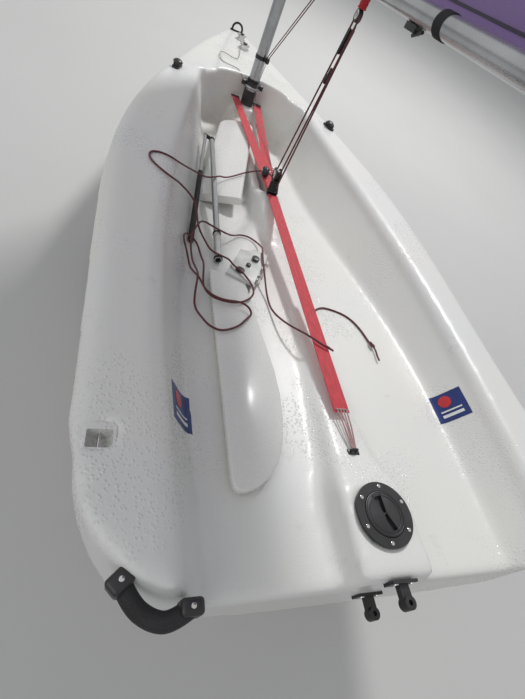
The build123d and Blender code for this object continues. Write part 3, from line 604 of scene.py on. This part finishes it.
class DINGHY_OT_mainsheet(bpy.types.Operator):
    """The mainsheet's free end, its knot and the taut falls up to the boom."""
    bl_idname = "dinghy.mainsheet"
    bl_label = "Mainsheet"

    def execute(self, context):
        sizes = context.scene.dinghy_sizes
        route = [boat(*place) for place in ROPE_ROUTE]
        tail = line_of(route, sizes.rope, 8)
        settled(tail, "mainsheet_free_end", "hull", "line")
        knot = self.knot(route[-1], (route[-1] - route[-2]).normalized(), sizes.rope)
        path_length(tail)
        self.falls(sizes)
        self.ball()
        return {"FINISHED"}

    def knot(self, place, ahead, diameter):
        """A figure-of-eight stopper knot with its short tail."""
        above = Vector((0, 0, 1))
        side = ahead.cross(above).normalized()
        turns = [(0, 0, 0), (8, 5, 3), (20, 8, 5), (27, 0, 8), (20, -8, 5), (8, -6, 1), (2, 0, 7),
                 (8, 7, 9), (16, 2, 1), (24, -5, 1), (30, 0, 4), (24, 6, 9), (14, 0, 10), (20, -3, 4),
                 (36, -2, 3), (54, 2, 2), (76, 10, 1.5), (92, 12, 1)]
        places = [place + (ahead * a + side * b + above * c) * 0.001 for a, b, c in turns]
        knot = solid_line(places, diameter * 0.92, resolution=8)
        return settled(knot, "mainsheet_stopper_knot", "hull", "fall")

    def ball(self):
        """The ball-shaped block that the mainsheet leaves, lying on the port strap."""
        place = boat(-22, 1753, -79.5)
        body = lump(place, 0.0235, (0.82, 1.15, 0.95), 32, 20)
        cheeks = [ring(place + RIGHT * (side * 0.0105), RIGHT, 0.0185, 0.0036) for side in (-1, 1)]
        settled([body, *cheeks], "strap_block", "hull", "plastic")
        pins = [turned_part(place + RIGHT * (side * 0.0192), RIGHT, 0.0085, 0.004, 24, 0.001)
                for side in (-1, 1)]
        settled(pins, "strap_block_pin", "hull", "steel")

    def falls(self, sizes):
        """Three parts up to the boom, the small blocks on them, and the short lead at their foot."""
        runs = [((-2, 1672, -30), (0, 1637, 600)), ((2, 1622, -22), (0, 1601, 600)),
                ((6, 1606, -90), (4, 1612, 566))]
        falls = joined([solid_line(along(boat(*low), on_boom(*high), 12), sizes.rope) for low, high in runs])
        settled(falls, "mainsheet_falls", None, "fall")
        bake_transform(falls)
        low, high = boat(0, 1640, 0), on_boom(0, 1620, 570)
        way = high - low
        blocks = [turned_part(low.lerp(high, 0.675), way, 0.0085, 0.034, 24, 0.004),
                  turned_part(low.lerp(high, 0.70), way, 0.0055, 0.052, 20, 0.002)]
        for side in (-1, 1):
            cheek = low.lerp(high, 0.90) + RIGHT * (side * 0.007)
            blocks.append(turned_part(cheek, way, 0.0065, 0.085, 24, 0.003))
        settled(blocks, "falls_blocks", None, "plastic")
        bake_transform(bpy.data.objects["falls_blocks"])
        lead = solid_line(along(boat(-14, 1740, -74), boat(-2, 1662, -58), 6), sizes.rope)
        settled(lead, "mainsheet_lead", "hull", "fall")


def path_length(piece):
    """The length of a curve's own line."""
    bare = piece.data.copy()
    bare.bevel_depth = 0
    probe = bpy.data.objects.new("probe", bare)
    bpy.context.collection.objects.link(probe)
    bpy.context.view_layer.update()
    mesh = bpy.data.meshes.new_from_object(probe)
    points = [vertex.co for vertex in mesh.vertices]
    total = sum((points[edge.vertices[0]] - points[edge.vertices[1]]).length for edge in mesh.edges)
    bpy.data.objects.remove(probe)
    bpy.data.meshes.remove(mesh)
    bpy.data.curves.remove(bare)
    return total


class DINGHY_OT_hull(bpy.types.Operator):
    """The moulding with its rounded edges and pebbled skin."""
    bl_idname = "dinghy.hull"
    bl_label = "Hull"

    def execute(self, context):
        skin = bpy.data.objects.new("hull_skin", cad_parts["hull"].data.copy())
        context.collection.objects.link(skin)
        edited(skin, bpy.ops.mesh.remove_doubles, threshold=0.0001)
        applied(skin, kind="REMESH", mode="VOXEL", voxel_size=context.scene.dinghy_sizes.skin)
        soft = skin.vertex_groups.new(name="soft")
        pockets = [boat(side * 618, 262, -10) for side in (-1, 1)]
        crisp = 0.06
        far = [v.index for v in skin.data.vertices if min((v.co - p).length for p in pockets) > crisp]
        soft.add(far, 1.0, "REPLACE")
        applied(skin, kind="SMOOTH", factor=0.5, iterations=6, vertex_group="soft")
        skin.vertex_groups.clear()
        settled(skin, "hull_skin", "hull", "moulding", smooth=60)
        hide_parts("hull")
        return {"FINISHED"}


class DINGHY_OT_straps(bpy.types.Operator):
    """Toe straps of woven webbing, with the stitched front ends and the lashing aft."""
    bl_idname = "dinghy.straps"
    bl_label = "Toe straps"

    def execute(self, context):
        sizes = context.scene.dinghy_sizes
        courses = {"port": [(-76, 2739, -82.8), (-50, 2350, -91.5), (-26, 1990, -98.8), (-2, 1631, -106.0)],
                   "starboard": [(76, 2739, -86.0), (50, 2350, -95.0), (26, 1990, -102.2), (2, 1631, -109.4)],
                   "rear": [(0, 1597, -109.4), (0, 1300, -107.5), (0, 850, -102.0), (0, 417, -96)]}
        for name, course in courses.items():
            piece = band([(boat(*p), RIGHT) for p in course], sizes.strap_width, sizes.strap_thickness)
            settled(piece, "webbing_" + name, "hull", "webbing")
            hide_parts("toe_strap_" + name)
            if name != "rear":
                self.stitched_end(name, Vector(course[0]), Vector(course[1]), sizes)
        self.lashing()
        return {"FINISHED"}

    def stitched_end(self, name, front, second, sizes):
        """The dark, doubled length at a strap's front."""
        lift, share = 0.4, 0.085
        back = front + (second - front) * share
        places = [boat(front.x, front.y + 0.5, front.z + lift), boat(back.x, back.y, back.z + lift)]
        stations = [(place, RIGHT) for place in places]
        end = band(stations, sizes.strap_width + 0.002, sizes.strap_thickness * 2.2)
        settled(end, "stitched_end_" + name, "hull", "webbing_end")

    def lashing(self):
        """Turns of thin line from the rear strap's end to an eye on the aft spine."""
        turns = []
        for k, (x, foot) in enumerate(((-15, -5), (-5, -2), (5, 2), (15, 5))):
            top, low = boat(x, 424, -92.6), boat(foot, 306, -92)
            belly = top.lerp(low, 0.5) + Vector((0, 0, 0.002 * (1 + k % 2)))
            turns.append(solid_line([top, top.lerp(belly, 0.5), belly, belly.lerp(low, 0.5), low], 0.0042))
        turns.append(solid_line(along(boat(-21, 424, -91.5), boat(21, 424, -91.5), 5), 0.0042))
        settled(turns, "strap_lashing_line", "hull", "pale_line")
        eye = joined([ring(boat(0, 302, -93), Vector((0, 1, 0)), 0.0085, 0.0026, 28, 12),
                      block(boat(0, 300, -100.2), (0.034, 0.016, 0.005), (-TRIM, 0, 0), 0.0014)])
        settled(eye, "lashing_eye", "hull", "plastic")


class DINGHY_OT_foils(bpy.types.Operator):
    """Rudder blade, daggerboard and the rudder's stock with its fastenings."""
    bl_idname = "dinghy.foils"
    bl_label = "Foils"

    def execute(self, context):
        dress("foil", "daggerboard")
        dress("satin", "rudder_stock")
        dress("plastic", "gudgeon_upper", "gudgeon_lower")
        self.blade()
        bosses = [turned_part(boat(-172 + x, 1062 + y, -136.5), UP, radius, 0.007, 32, 0.0015)
                  for x, y, radius in ((-46, -50, 0.017), (28, 42, 0.015), (-8, -8, 0.009))]
        settled(bosses, "stock_bosses", "hull", "plastic")
        bolts = [turned_part(boat(side * 21, -6.5, z), AFT, 0.0062, 0.004, 20, 0.0012)
                 for side in (-1, 1) for z in (-70, -197)]
        settled(bolts, "gudgeon_bolts", "hull", "steel")
        return {"FINISHED"}

    def blade(self):
        """The rudder blade: straight leading edge, swept tip, rounded trailing corner."""
        outline = [(-329, 1000), (-334, 640), (-338, 300), (-338, 226), (-334, 208), (-323, 199), (-306, 200),
                   (-276, 210), (-245, 233), (-215, 269), (-191, 329), (-175, 402), (-167, 478), (-167, 560),
                   (-176, 660), (-188, 770), (-200, 1000)]
        tip_y, tip_z, slope, thickness = 198, -113.7, 0.05536, 0.0188
        clear()
        bpy.ops.mesh.primitive_circle_add(vertices=len(outline), fill_type="NGON")
        foil = bpy.context.object
        turn = 1 if foil.data.polygons[0].normal.z > 0 else -1
        for vertex, (x, y) in zip(foil.data.vertices, outline[::turn]):
            vertex.co = boat(x, y, tip_z - slope * (y - tip_y))
        applied(foil, kind="SOLIDIFY", thickness=thickness, offset=0.0)
        applied(foil, kind="BEVEL", width=0.006, segments=4, limit_method="ANGLE", angle_limit=radians(50))
        edited(foil, bpy.ops.mesh.normals_make_consistent, inside=False)
        settled(foil, "blade_foil", "hull", "foil")
        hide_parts("rudder_blade")


class DINGHY_OT_tiller(bpy.types.Operator):
    """Tiller, its sleeve, the extension with its grip, and the rubber joint."""
    bl_idname = "dinghy.tiller"
    bl_label = "Tiller"

    def execute(self, context):
        dress("alloy", "tiller", "tiller_extension")
        dress("satin", "tiller_sleeve")
        dress("rubber", "extension_grip", "tiller_joint")
        self.ferrules()
        return {"FINISHED"}

    def ferrules(self):
        """Black rings at both ends of the tiller's sleeve, and the joint's rubber collars."""
        fore, aft = boat(-264, 2020, -118), boat(-285, 1085, -169)
        way = fore - aft
        rims = [ring(aft.lerp(fore, t), way, 0.0142, 0.0026) for t in (0.004, 0.010, 0.164, 0.169)]
        rims += [ring(fore.lerp(aft, t), way, 0.0122, 0.0022) for t in (0.004, 0.010, 0.016)]
        settled(rims, "tiller_rings", "hull", "rubber")


class DINGHY_OT_hatch(bpy.types.Operator):
    """The round hatch: its lid, ring and six screws."""
    bl_idname = "dinghy.hatch"
    bl_label = "Hatch"

    def execute(self, context):
        dress("plastic", "hatch_ring")
        self.lid()
        angles = [radians(60 * k + 24) for k in range(6)]
        circle, top = 63, -55.6
        places = [boat(circle * cos(a), HATCH_Y + circle * sin(a), top) for a in angles]
        screws = [turned_part(place, UP, 0.0046, 0.0022, 18, 0.0008) for place in places]
        settled(screws, "hatch_screws", "hull", "steel")
        return {"FINISHED"}

    def lid(self):
        """The lid that unscrews: two raised rings and a sunken bow-tie to turn it by."""
        lid = turned_part(boat(0, HATCH_Y, -67), UP, 0.0508, 0.025, 96, 0.0012)
        reach, wide, narrow, deep = 0.042, 0.026, 0.007, 0.016
        halves = []
        for side in (0, 180):
            clear()
            bpy.ops.mesh.primitive_cube_add(size=1)
            wedge = bpy.context.object
            for vertex in wedge.data.vertices:
                x, y, z = vertex.co
                vertex.co = ((x + 0.5) * reach, y * (wide if x > 0 else narrow), z * deep)
            spot = Matrix.Translation(boat(0, HATCH_Y, -54.5)) @ Matrix.Rotation(-TRIM, 4, "X")
            wedge.data.transform(spot @ Matrix.Rotation(radians(104 + side), 4, "Z"))
            halves.append(wedge)
        cutter = joined(halves)
        applied(lid, kind="BOOLEAN", operation="DIFFERENCE", object=cutter, solver="EXACT", use_self=True)
        bpy.data.objects.remove(cutter)
        rings = [ring(boat(0, HATCH_Y, -54.6), UP, radius, 0.0013, 72, 10) for radius in (0.0475, 0.0405)]
        grip = block(boat(0, HATCH_Y, -60), (0.020, 0.0035, 0.0085), (-TRIM, 0, radians(14)), 0.001)
        settled([lid, *rings, grip], "hatch_cover", "hatch_lid", "plastic")
        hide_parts("hatch_lid")


class DINGHY_OT_badges(bpy.types.Operator):
    """Plain square badges on the moulding: blue with a red disc and two white bars."""
    bl_idname = "dinghy.badges"
    bl_label = "Badges"

    def execute(self, context):
        side = context.scene.dinghy_sizes.badge
        skin = bpy.data.objects["hull_skin"]
        for word, centre, outward in (("starboard", boat(455, 488, -104), Vector((-0.86, 0.11, 0.5))),
                                      ("port", boat(-447, 400, -112), Vector((0.86, 0.11, 0.5)))):
            self.one(word, centre, outward.normalized(), side, skin)
        return {"FINISHED"}

    def one(self, word, centre, outward, side, skin):
        """One badge, laid down on the cockpit's side."""
        parts = [("badge_field_", "badge", (0, 0), (side, side), 0.0006),
                 ("badge_bar_one_", "badge_white", (-0.30 * side, 0), (side * 0.10, side * 0.66), 0.0011),
                 ("badge_bar_two_", "badge_white", (-0.14 * side, 0), (side * 0.05, side * 0.66), 0.0011)]
        for name, finish, (dx, dy), (wide, high), lift in parts:
            clear()
            bpy.ops.mesh.primitive_grid_add(x_subdivisions=24, y_subdivisions=24, size=1)
            piece = bpy.context.object
            piece.scale = (wide, high, 1)
            self.lay(piece, centre, outward, dx, dy, lift, skin)
            settled(piece, name + word, "hull", finish)
        clear()
        bpy.ops.mesh.primitive_circle_add(vertices=48, radius=side * 0.2, fill_type="TRIFAN")
        disc = bpy.context.object
        edited(disc, bpy.ops.mesh.subdivide, number_cuts=4)
        self.lay(disc, centre, outward, 0.19 * side, 0.1 * side, 0.0013, skin)
        settled(disc, "badge_disc_" + word, "hull", "badge_red")

    def lay(self, piece, centre, outward, dx, dy, lift, skin):
        """Turn a flat piece to the wall, its first side along the boat, and press it onto the skin."""
        only(piece)
        bpy.ops.object.transform_apply(location=False, rotation=False, scale=True)
        ahead = AHEAD.normalized()
        ahead = (ahead - outward * ahead.dot(outward)).normalized()
        axes = Matrix((ahead, outward.cross(ahead), outward)).transposed().to_4x4()
        piece.data.transform(Matrix.Translation(centre) @ axes @ Matrix.Translation((dx, dy, 0.004)))
        applied(piece, kind="SHRINKWRAP", target=skin, wrap_method="NEAREST_SURFACEPOINT",
                wrap_mode="ABOVE_SURFACE", offset=lift)


class DINGHY_OT_deck_gear(bpy.types.Operator):
    """Blocks, fairleads, handles, the mast's collar and the pocket bars."""
    bl_idname = "dinghy.deck_gear"
    bl_label = "Deck gear"

    def execute(self, context):
        dress("plastic", "mast_collar", "ratchet_block", "sheet_post", "fairlead_port", "fairlead_starboard")
        dress("rubber", "bow_handle")
        dress("steel", "cam_cleat", "furler_drum", "tack_block", "pocket_bar_port", "pocket_bar_starboard")
        self.cheeks()
        self.bolts()
        self.domes()
        self.collar_ring()
        self.thin_loop(context.scene.dinghy_sizes.thin_line)
        self.boot()
        for word, side in (("port", -1), ("starboard", 1)):
            self.pocket(word, side)
            self.stern_handle(word, side)
        return {"FINISHED"}

    def cheeks(self):
        """Black caps on the foredeck's two blocks, and the ratchet block's bright cheeks."""
        pieces = []
        for node, radius in (("furler_drum", 0.012), ("tack_block", 0.0135)):
            low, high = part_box(node)
            middle = Vector(((low.x + high.x) / 2, (low.y + high.y) / 2, high.z - 0.0005))
            pieces.append(turned_part(middle, UP, radius, 0.004, 40, 0.0012))
            pieces.append(ring(middle + UP.normalized() * 0.002, UP, radius * 1.18, 0.0016, 40, 10))
        settled(pieces, "foredeck_block_cheeks", "hull", "plastic")
        discs = ((13.6, 0.019, 0.0026, 40), (15.4, 0.006, 0.004, 20))
        pins = [turned_part(boat(side * x, 1650, -36), RIGHT, radius, depth, sides, 0.001)
                for side in (-1, 1) for x, radius, depth, sides in discs]
        settled(pins, "ratchet_cheeks", "hull", "steel")

    def bolts(self):
        """Bolt heads on the mast's collar and the fairleads."""
        fairlead_x, fairlead_y, top = 470, 2429, 30.5
        heads = []
        for side in (-1, 1):
            heads.append(turned_part(boat(side * 54, 2672, 33), UP, 0.0075, 0.005, 6, 0.001))
            for step in (-36, 36):
                turn = radians(side * 18)
                place = boat(side * fairlead_x - step * sin(turn), fairlead_y + step * cos(turn), top)
                heads.append(turned_part(place, UP, 0.0045, 0.003, 18, 0.0008))
        settled(heads, "deck_bolts", "hull", "steel")

    def boot(self):
        """The rubber boot that stands the ratchet block up."""
        foot, head = boat(0, 1614, -104), boat(0, 1634, -66)
        coils = [ring(foot.lerp(head, k / 5), head - foot, 0.0225 - 0.0012 * k, 0.0046) for k in range(6)]
        settled(coils, "post_boot", "hull", "rubber")

    def pocket(self, word, side):
        """The crisp square frame of a line pocket in the side deck."""
        tilt = (-TRIM, radians(side * 3), 0)
        size, opening = (0.060, 0.062, 0.036), (0.046, 0.036, 0.060)
        outer = block(boat(side * 617, 260, -21), size, tilt, 0.004, 3)
        inner = block(boat(side * 617, 256, -21), opening, tilt, 0.003, 3)
        applied(outer, kind="BOOLEAN", operation="DIFFERENCE", object=inner, solver="EXACT")
        bpy.data.objects.remove(inner)
        settled(outer, "pocket_frame_" + word, "hull", "moulding")

    def stern_handle(self, word, side):
        """A thick rubber grip between two bolted caps at the stern's corner."""
        a, b = Vector((side * 562, 36, -34)), Vector((side * 454, -11, -34))
        bow = (a + b) / 2 + Vector((side * 4, -34, -8))
        near_a = a.lerp(bow, 0.45) + Vector((side * 5, -8, -2))
        near_b = b.lerp(bow, 0.45) + Vector((side * 2, -11, -2))
        grip = solid_line([boat(*p) for p in (a, near_a, bow, near_b, b)], 0.030, resolution=12)
        settled(grip, "stern_grip_" + word, "hull", "rubber")
        turn = radians(side * -42)
        caps = [block(boat(side * 562, 33, -33), (0.040, 0.030, 0.042), (-TRIM, 0, turn), 0.007, 4),
                block(boat(side * 454, -11, -34), (0.038, 0.026, 0.040), (-TRIM, 0, 0), 0.007, 4)]
        settled(caps, "stern_caps_" + word, "hull", "plastic")
        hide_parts("stern_handle_" + word)
        bolts = [turned_part(boat(side * x, y, -12.6), UP, 0.0045, 0.003, 20, 0.001)
                 for x, y in ((562, 33), (454, -11))]
        settled(bolts, "stern_bolts_" + word, "hull", "steel")

    def domes(self):
        """Rounded caps over the two fairleads."""
        for word in ("port", "starboard"):
            low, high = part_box("fairlead_" + word)
            place = Vector(((low.x + high.x) / 2, (low.y + high.y) / 2, high.z - 0.006))
            dome = lump(place, 0.024, (1, 1.1, 0.55), 36, 18)
            brim = ring(place, Vector((0, 0, 1)), 0.0235, 0.0024)
            settled([dome, brim], "fairlead_cap_" + word, "hull", "plastic")

    def collar_ring(self):
        """The pale ring round the mast's collar."""
        band = [ring(boat(0, MAST_Y, z), UP, 0.0492, 0.0022, 64, 10) for z in (6, 9.5, 13)]
        settled(band, "collar_ring", "hull", "alloy")

    def thin_loop(self, diameter):
        """The furler's thin line, left in a loose loop on the foredeck."""
        places = [boat(*p) for p in ((-30, 3262, 78), (-44, 3180, 68), (-56, 3060, 61), (-85, 2950, 59),
                                     (-118, 2940, 58), (-155, 2985, 58), (-186, 2992, 56), (-201, 2955, 51),
                                     (-204, 2880, 47), (-196, 2805, 49), (-166, 2772, 53), (-128, 2764, 54),
                                     (-98, 2764, 52), (-80, 2748, 44), (-68, 2722, 34))]
        loop = line_of(places, diameter, 8)
        settled(loop, "furler_line", "hull", "thin")
        path_length(loop)


class DINGHY_OT_rig(bpy.types.Operator):
    """Mast, boom, their fittings, and the kicker's lines."""
    bl_idname = "dinghy.rig"
    bl_label = "Mast and boom"

    def execute(self, context):
        dress("alloy", "mast_lower", "mast_upper", "boom")
        dress("plastic", "mast_joint", "mast_cap", "mast_foot", "gooseneck", "boom_end", "boom_block",
              "boom_cleat", "kicker_lower_block", "kicker_upper_block")
        dress("strop", "sheet_strop")
        self.kicker(context.scene.dinghy_sizes)
        self.band_on_mast()
        self.block_cheeks()
        self.boom_webbing()
        return {"FINISHED"}

    def kicker(self, sizes):
        """Twin lines from the mast's block up to the boom, and the control line down to its eye."""
        ends = [(on_boom(30 + side * 6, 2648, 186), on_boom(side * 5, 2074, 612)) for side in (-1, 1)]
        twin = [solid_line(along(low, high, 10), sizes.kicker) for low, high in ends]
        settled(twin, "kicker_lines", "rig", "fall")
        places = [(30, 2646, 158), (20, 2632, 90), (12, 2606, 26), (14, 2580, 4), (22, 2558, -50),
                  (36, 2440, -72), (38, 2250, -80), (42, 2000, -92), (44, 1900, -100), (44, 1866, -106)]
        control = solid_line([boat(*p) for p in places], sizes.thin_line, resolution=10)
        settled(control, "kicker_control_line", None, "thin", slot="black_plastic")
        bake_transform(control)
        eye = ring(boat(44, 1860, -103), RIGHT, 0.009, 0.0022, 24, 10)
        settled(eye, "kicker_eye", "hull", "steel")

    def boom_webbing(self):
        """The dark webbing round the boom and the red strop's turns over the block's neck."""
        way = on_boom(0, 1, 0) - on_boom(0, 0, 0)
        radius = BOOM_RADIUS / 1000 + 0.0008
        turns = [ring(on_boom(0, y, BOOM_Z), way, radius, 0.0022, 48, 8) for y in range(1062, 1102, 4)]
        settled(turns, "boom_webbing", "rig", "rubber", slot="black_webbing")
        low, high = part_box("boom_block")
        middle = (low + high) / 2
        heights = [high.z - 0.004 - 0.0065 * k for k in range(6)]
        wraps = [ring(Vector((middle.x, middle.y, z)), UP, 0.0115 + 0.001 * (k % 2), 0.0036)
                 for k, z in enumerate(heights)]
        settled(wraps, "strop_turns", "rig", "strop")

    def band_on_mast(self):
        """The black band round the mast just above its collar."""
        rims = [ring(boat(0, MAST_Y, z), UP, 0.0345, 0.0035, 56, 12) for z in (37, 42, 47)]
        settled(rims, "mast_band", "rig", "rubber")

    def block_cheeks(self):
        """Bright cheeks and pins on the mainsheet's boom block."""
        low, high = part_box("boom_block")
        middle = (low + high) / 2
        across = on_boom(1, 0, 0) - on_boom(0, 0, 0)
        pieces = []
        for side in (-1, 1):
            face = middle + across.normalized() * (side * 0.0075) - Vector((0, 0, 0.018))
            pieces.append(turned_part(face, across, 0.0145, 0.003, 36, 0.001))
            pieces.append(turned_part(face, across, 0.005, 0.0055, 20, 0.001))
        settled(pieces, "boom_block_cheeks", "rig", "steel")


class DINGHY_OT_sail(bpy.types.Operator):
    """The sail, one cambered sheet, with its foot strip, batten pockets and corner patches."""
    bl_idname = "dinghy.sail"
    bl_label = "Sail"

    # The foot's height, then the height, chord and belly of each row from the foot up
    FOOT = BOOM_Z + BOOM_RADIUS + 0.4
    ROWS = [(FOOT, 2560.0, 110.0), (BOOM_Z + 1500, 2090.0, 150.0), (BOOM_Z + 3100, 1290.0, 100.0),
            (BOOM_Z + 4700, 190.0, 10.0)]

    def execute(self, context):
        clear()
        bpy.ops.mesh.primitive_grid_add(x_subdivisions=48, y_subdivisions=80, size=1, calc_uvs=True)
        cloth = context.object
        for vertex in cloth.data.vertices:
            height = (vertex.co.y + 0.5) * (self.ROWS[-1][0] - self.FOOT) + self.FOOT
            vertex.co = self.on_cloth(vertex.co.x + 0.5, height)
        applied(cloth, kind="SOLIDIFY", thickness=0.0016, offset=0.0)
        settled(cloth, "sail_cloth", "rig", "sail", smooth=60)
        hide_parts("sail")
        hem = [(0.49, 27), (0.60, 25), (0.72, 23), (0.86, 21), (0.985, 20)]
        foot = self.strip(hem, 0.007, "foot_band", "dark_cloth")
        shares = [1.0 - 0.30 * k / 6 for k in range(7)]
        pockets = [self.strip([(share, height) for share in shares], 0.045, "batten_pocket_%d" % n, "sail")
                   for n, height in enumerate((1150, 2350, 3500), 1)]
        patches = [self.strip([(start, 40), (start + 0.045, 40)], 0.09, name, "dark_cloth")
                   for start, name in ((0.004, "tack_patch"), (0.948, "clew_patch"))]
        return {"FINISHED"}

    def on_cloth(self, share, height):
        """A point of the sail, a share of the way from mast to leech, at a height over the gunwale."""
        for a, b in zip(self.ROWS, self.ROWS[1:]):
            if height <= b[0] + 1e-6:
                break
        t = min(max((height - a[0]) / (b[0] - a[0]), 0), 1)
        chord, camber = a[1] + (b[1] - a[1]) * t, a[2] + (b[2] - a[2]) * t
        belly = camber * (1 - (2 * share - 1) ** 2)
        luff = MAST_Y - MAST_RADIUS - 2
        return on_boom(belly + 3, luff - share * (chord - 2), height + 0.8)

    def strip(self, course, width, name, finish):
        """A narrow band sewn on the sail's two faces, along (share, height over the foot)."""
        stations = [(self.on_cloth(share, self.FOOT + height), UP) for share, height in course]
        piece = band(stations, width, 0.0042)
        return settled(piece, name, "rig", finish)


class DINGHY_OT_trolley(bpy.types.Operator):
    """Launching trolley: tubes, wheels, bearers and chock."""
    bl_idname = "dinghy.trolley"
    bl_label = "Trolley"

    def execute(self, context):
        dress("zinc", "trolley_axle", "trolley_spine", "trolley_handle")
        dress("rubber", "cradle_pad_port", "cradle_pad_starboard", "bow_chock")
        for word, side in (("port", -1), ("starboard", 1)):
            dress("tyre", "tyre_" + word)
            dress("rim", "rim_" + word)
            self.cap(word, side)
        return {"FINISHED"}

    def cap(self, word, side):
        """The washer and end cap on the axle outside a wheel."""
        low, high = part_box("trolley_axle")
        outward = Vector((side, 0, 0))
        end = (low + high) / 2
        end.x = low.x if side < 0 else high.x
        washer = turned_part(end - outward * 0.006, outward, 0.026, 0.003, 32, 0.0008)
        cap = turned_part(end + outward * 0.0022, outward, 0.0205, 0.004, 32, 0.0015)
        settled([cap, washer], "axle_cap_" + word, "hull", "zinc")


class DINGHY_OT_stage(bpy.types.Operator):
    """A plain pale floor and backdrop, and the lamps."""
    bl_idname = "dinghy.stage"
    bl_label = "Stage"

    def execute(self, context):
        scene = context.scene
        scene.view_settings.view_transform = "Standard"
        clear()
        bpy.ops.mesh.primitive_plane_add(size=60, location=(0, 0, -0.001))
        floor = context.object
        floor.name = "floor"
        pale = Nodes("pale_floor")
        at = pale.place()
        pale.colour(pale.blend(pale.noise(at, 0.8), (0.58, 0.575, 0.56, 1), (0.64, 0.635, 0.62, 1)))
        pale.set(Roughness=0.85)
        floor.data.materials.append(pale.material)
        world = bpy.data.worlds.new("studio")
        scene.world = world
        world.use_nodes = True
        sky = world.node_tree.nodes["Background"]
        sky.inputs["Color"].default_value = (0.93, 0.96, 1.0, 1)
        sky.inputs["Strength"].default_value = 0.38
        self.backdrop(world.node_tree, sky)
        lamps = (("key", (2.6, 4.2, 6.6), 1.0, 390), ("fill", (-4.5, -3.0, 5.0), 5.0, 90))
        for name, place, size, power in lamps:
            light = bpy.data.lights.new(name, "AREA")
            light.energy = power
            light.size = size
            lamp = bpy.data.objects.new(name, light)
            lamp.location = place
            lamp.rotation_euler = aimed(Vector(place) - Vector((0, -0.6, 0.6)))
            context.collection.objects.link(lamp)
        return {"FINISHED"}

    def backdrop(self, tree, sky):
        """A pale backdrop for the camera, mirrors and glass, which gives no light to the boat."""
        pale = tree.nodes.new("ShaderNodeBackground")
        pale.inputs["Color"].default_value = (0.66, 0.66, 0.65, 1)
        rays = tree.nodes.new("ShaderNodeLightPath")
        shown = rays.outputs["Is Camera Ray"]
        for kind in ("Is Glossy Ray", "Is Transmission Ray"):
            either = tree.nodes.new("ShaderNodeMath")
            either.operation = "MAXIMUM"
            tree.links.new(shown, either.inputs[0])
            tree.links.new(rays.outputs[kind], either.inputs[1])
            shown = either.outputs[0]
        mix = tree.nodes.new("ShaderNodeMixShader")
        tree.links.new(shown, mix.inputs[0])
        tree.links.new(sky.outputs[0], mix.inputs[1])
        tree.links.new(pale.outputs[0], mix.inputs[2])
        tree.links.new(mix.outputs[0], tree.nodes["World Output"].inputs["Surface"])


class DINGHY_PT_panel(bpy.types.Panel):
    """The dinghy's sizes, colours and pieces."""
    bl_label = "Dinghy"
    bl_idname = "DINGHY_PT_panel"
    bl_space_type = "VIEW_3D"
    bl_region_type = "UI"
    bl_category = "Dinghy"

    def draw(self, context):
        layout = self.layout
        for group in (context.scene.dinghy_look, context.scene.dinghy_sizes):
            box = layout.box()
            for name in group.__annotations__:
                box.prop(group, name)
        for operator in OPERATORS:
            layout.operator(operator.bl_idname)


OPERATORS = [DINGHY_OT_camera, DINGHY_OT_mainsheet, DINGHY_OT_hull, DINGHY_OT_straps, DINGHY_OT_foils,
             DINGHY_OT_tiller, DINGHY_OT_hatch, DINGHY_OT_badges, DINGHY_OT_deck_gear, DINGHY_OT_rig,
             DINGHY_OT_sail, DINGHY_OT_trolley, DINGHY_OT_stage]
CLASSES = [DINGHY_PG_look, DINGHY_PG_sizes, *OPERATORS, DINGHY_PT_panel]


def register():
    for cls in CLASSES:
        bpy.utils.register_class(cls)
    bpy.types.Scene.dinghy_look = bpy.props.PointerProperty(type=DINGHY_PG_look)
    bpy.types.Scene.dinghy_sizes = bpy.props.PointerProperty(type=DINGHY_PG_sizes)


def unregister():
    del bpy.types.Scene.dinghy_sizes
    del bpy.types.Scene.dinghy_look
    for cls in reversed(CLASSES):
        bpy.utils.unregister_class(cls)


def main():
    register()
    make_finishes(bpy.context.scene.dinghy_look)
    bpy.ops.dinghy.camera()
    bpy.ops.dinghy.mainsheet()
    bpy.ops.dinghy.hull()
    bpy.ops.dinghy.straps()
    bpy.ops.dinghy.foils()
    bpy.ops.dinghy.tiller()
    bpy.ops.dinghy.hatch()
    bpy.ops.dinghy.badges()
    bpy.ops.dinghy.deck_gear()
    bpy.ops.dinghy.rig()
    bpy.ops.dinghy.sail()
    bpy.ops.dinghy.trolley()
    bpy.ops.dinghy.stage()
    clear()


if __name__ == "__main__":
    main()
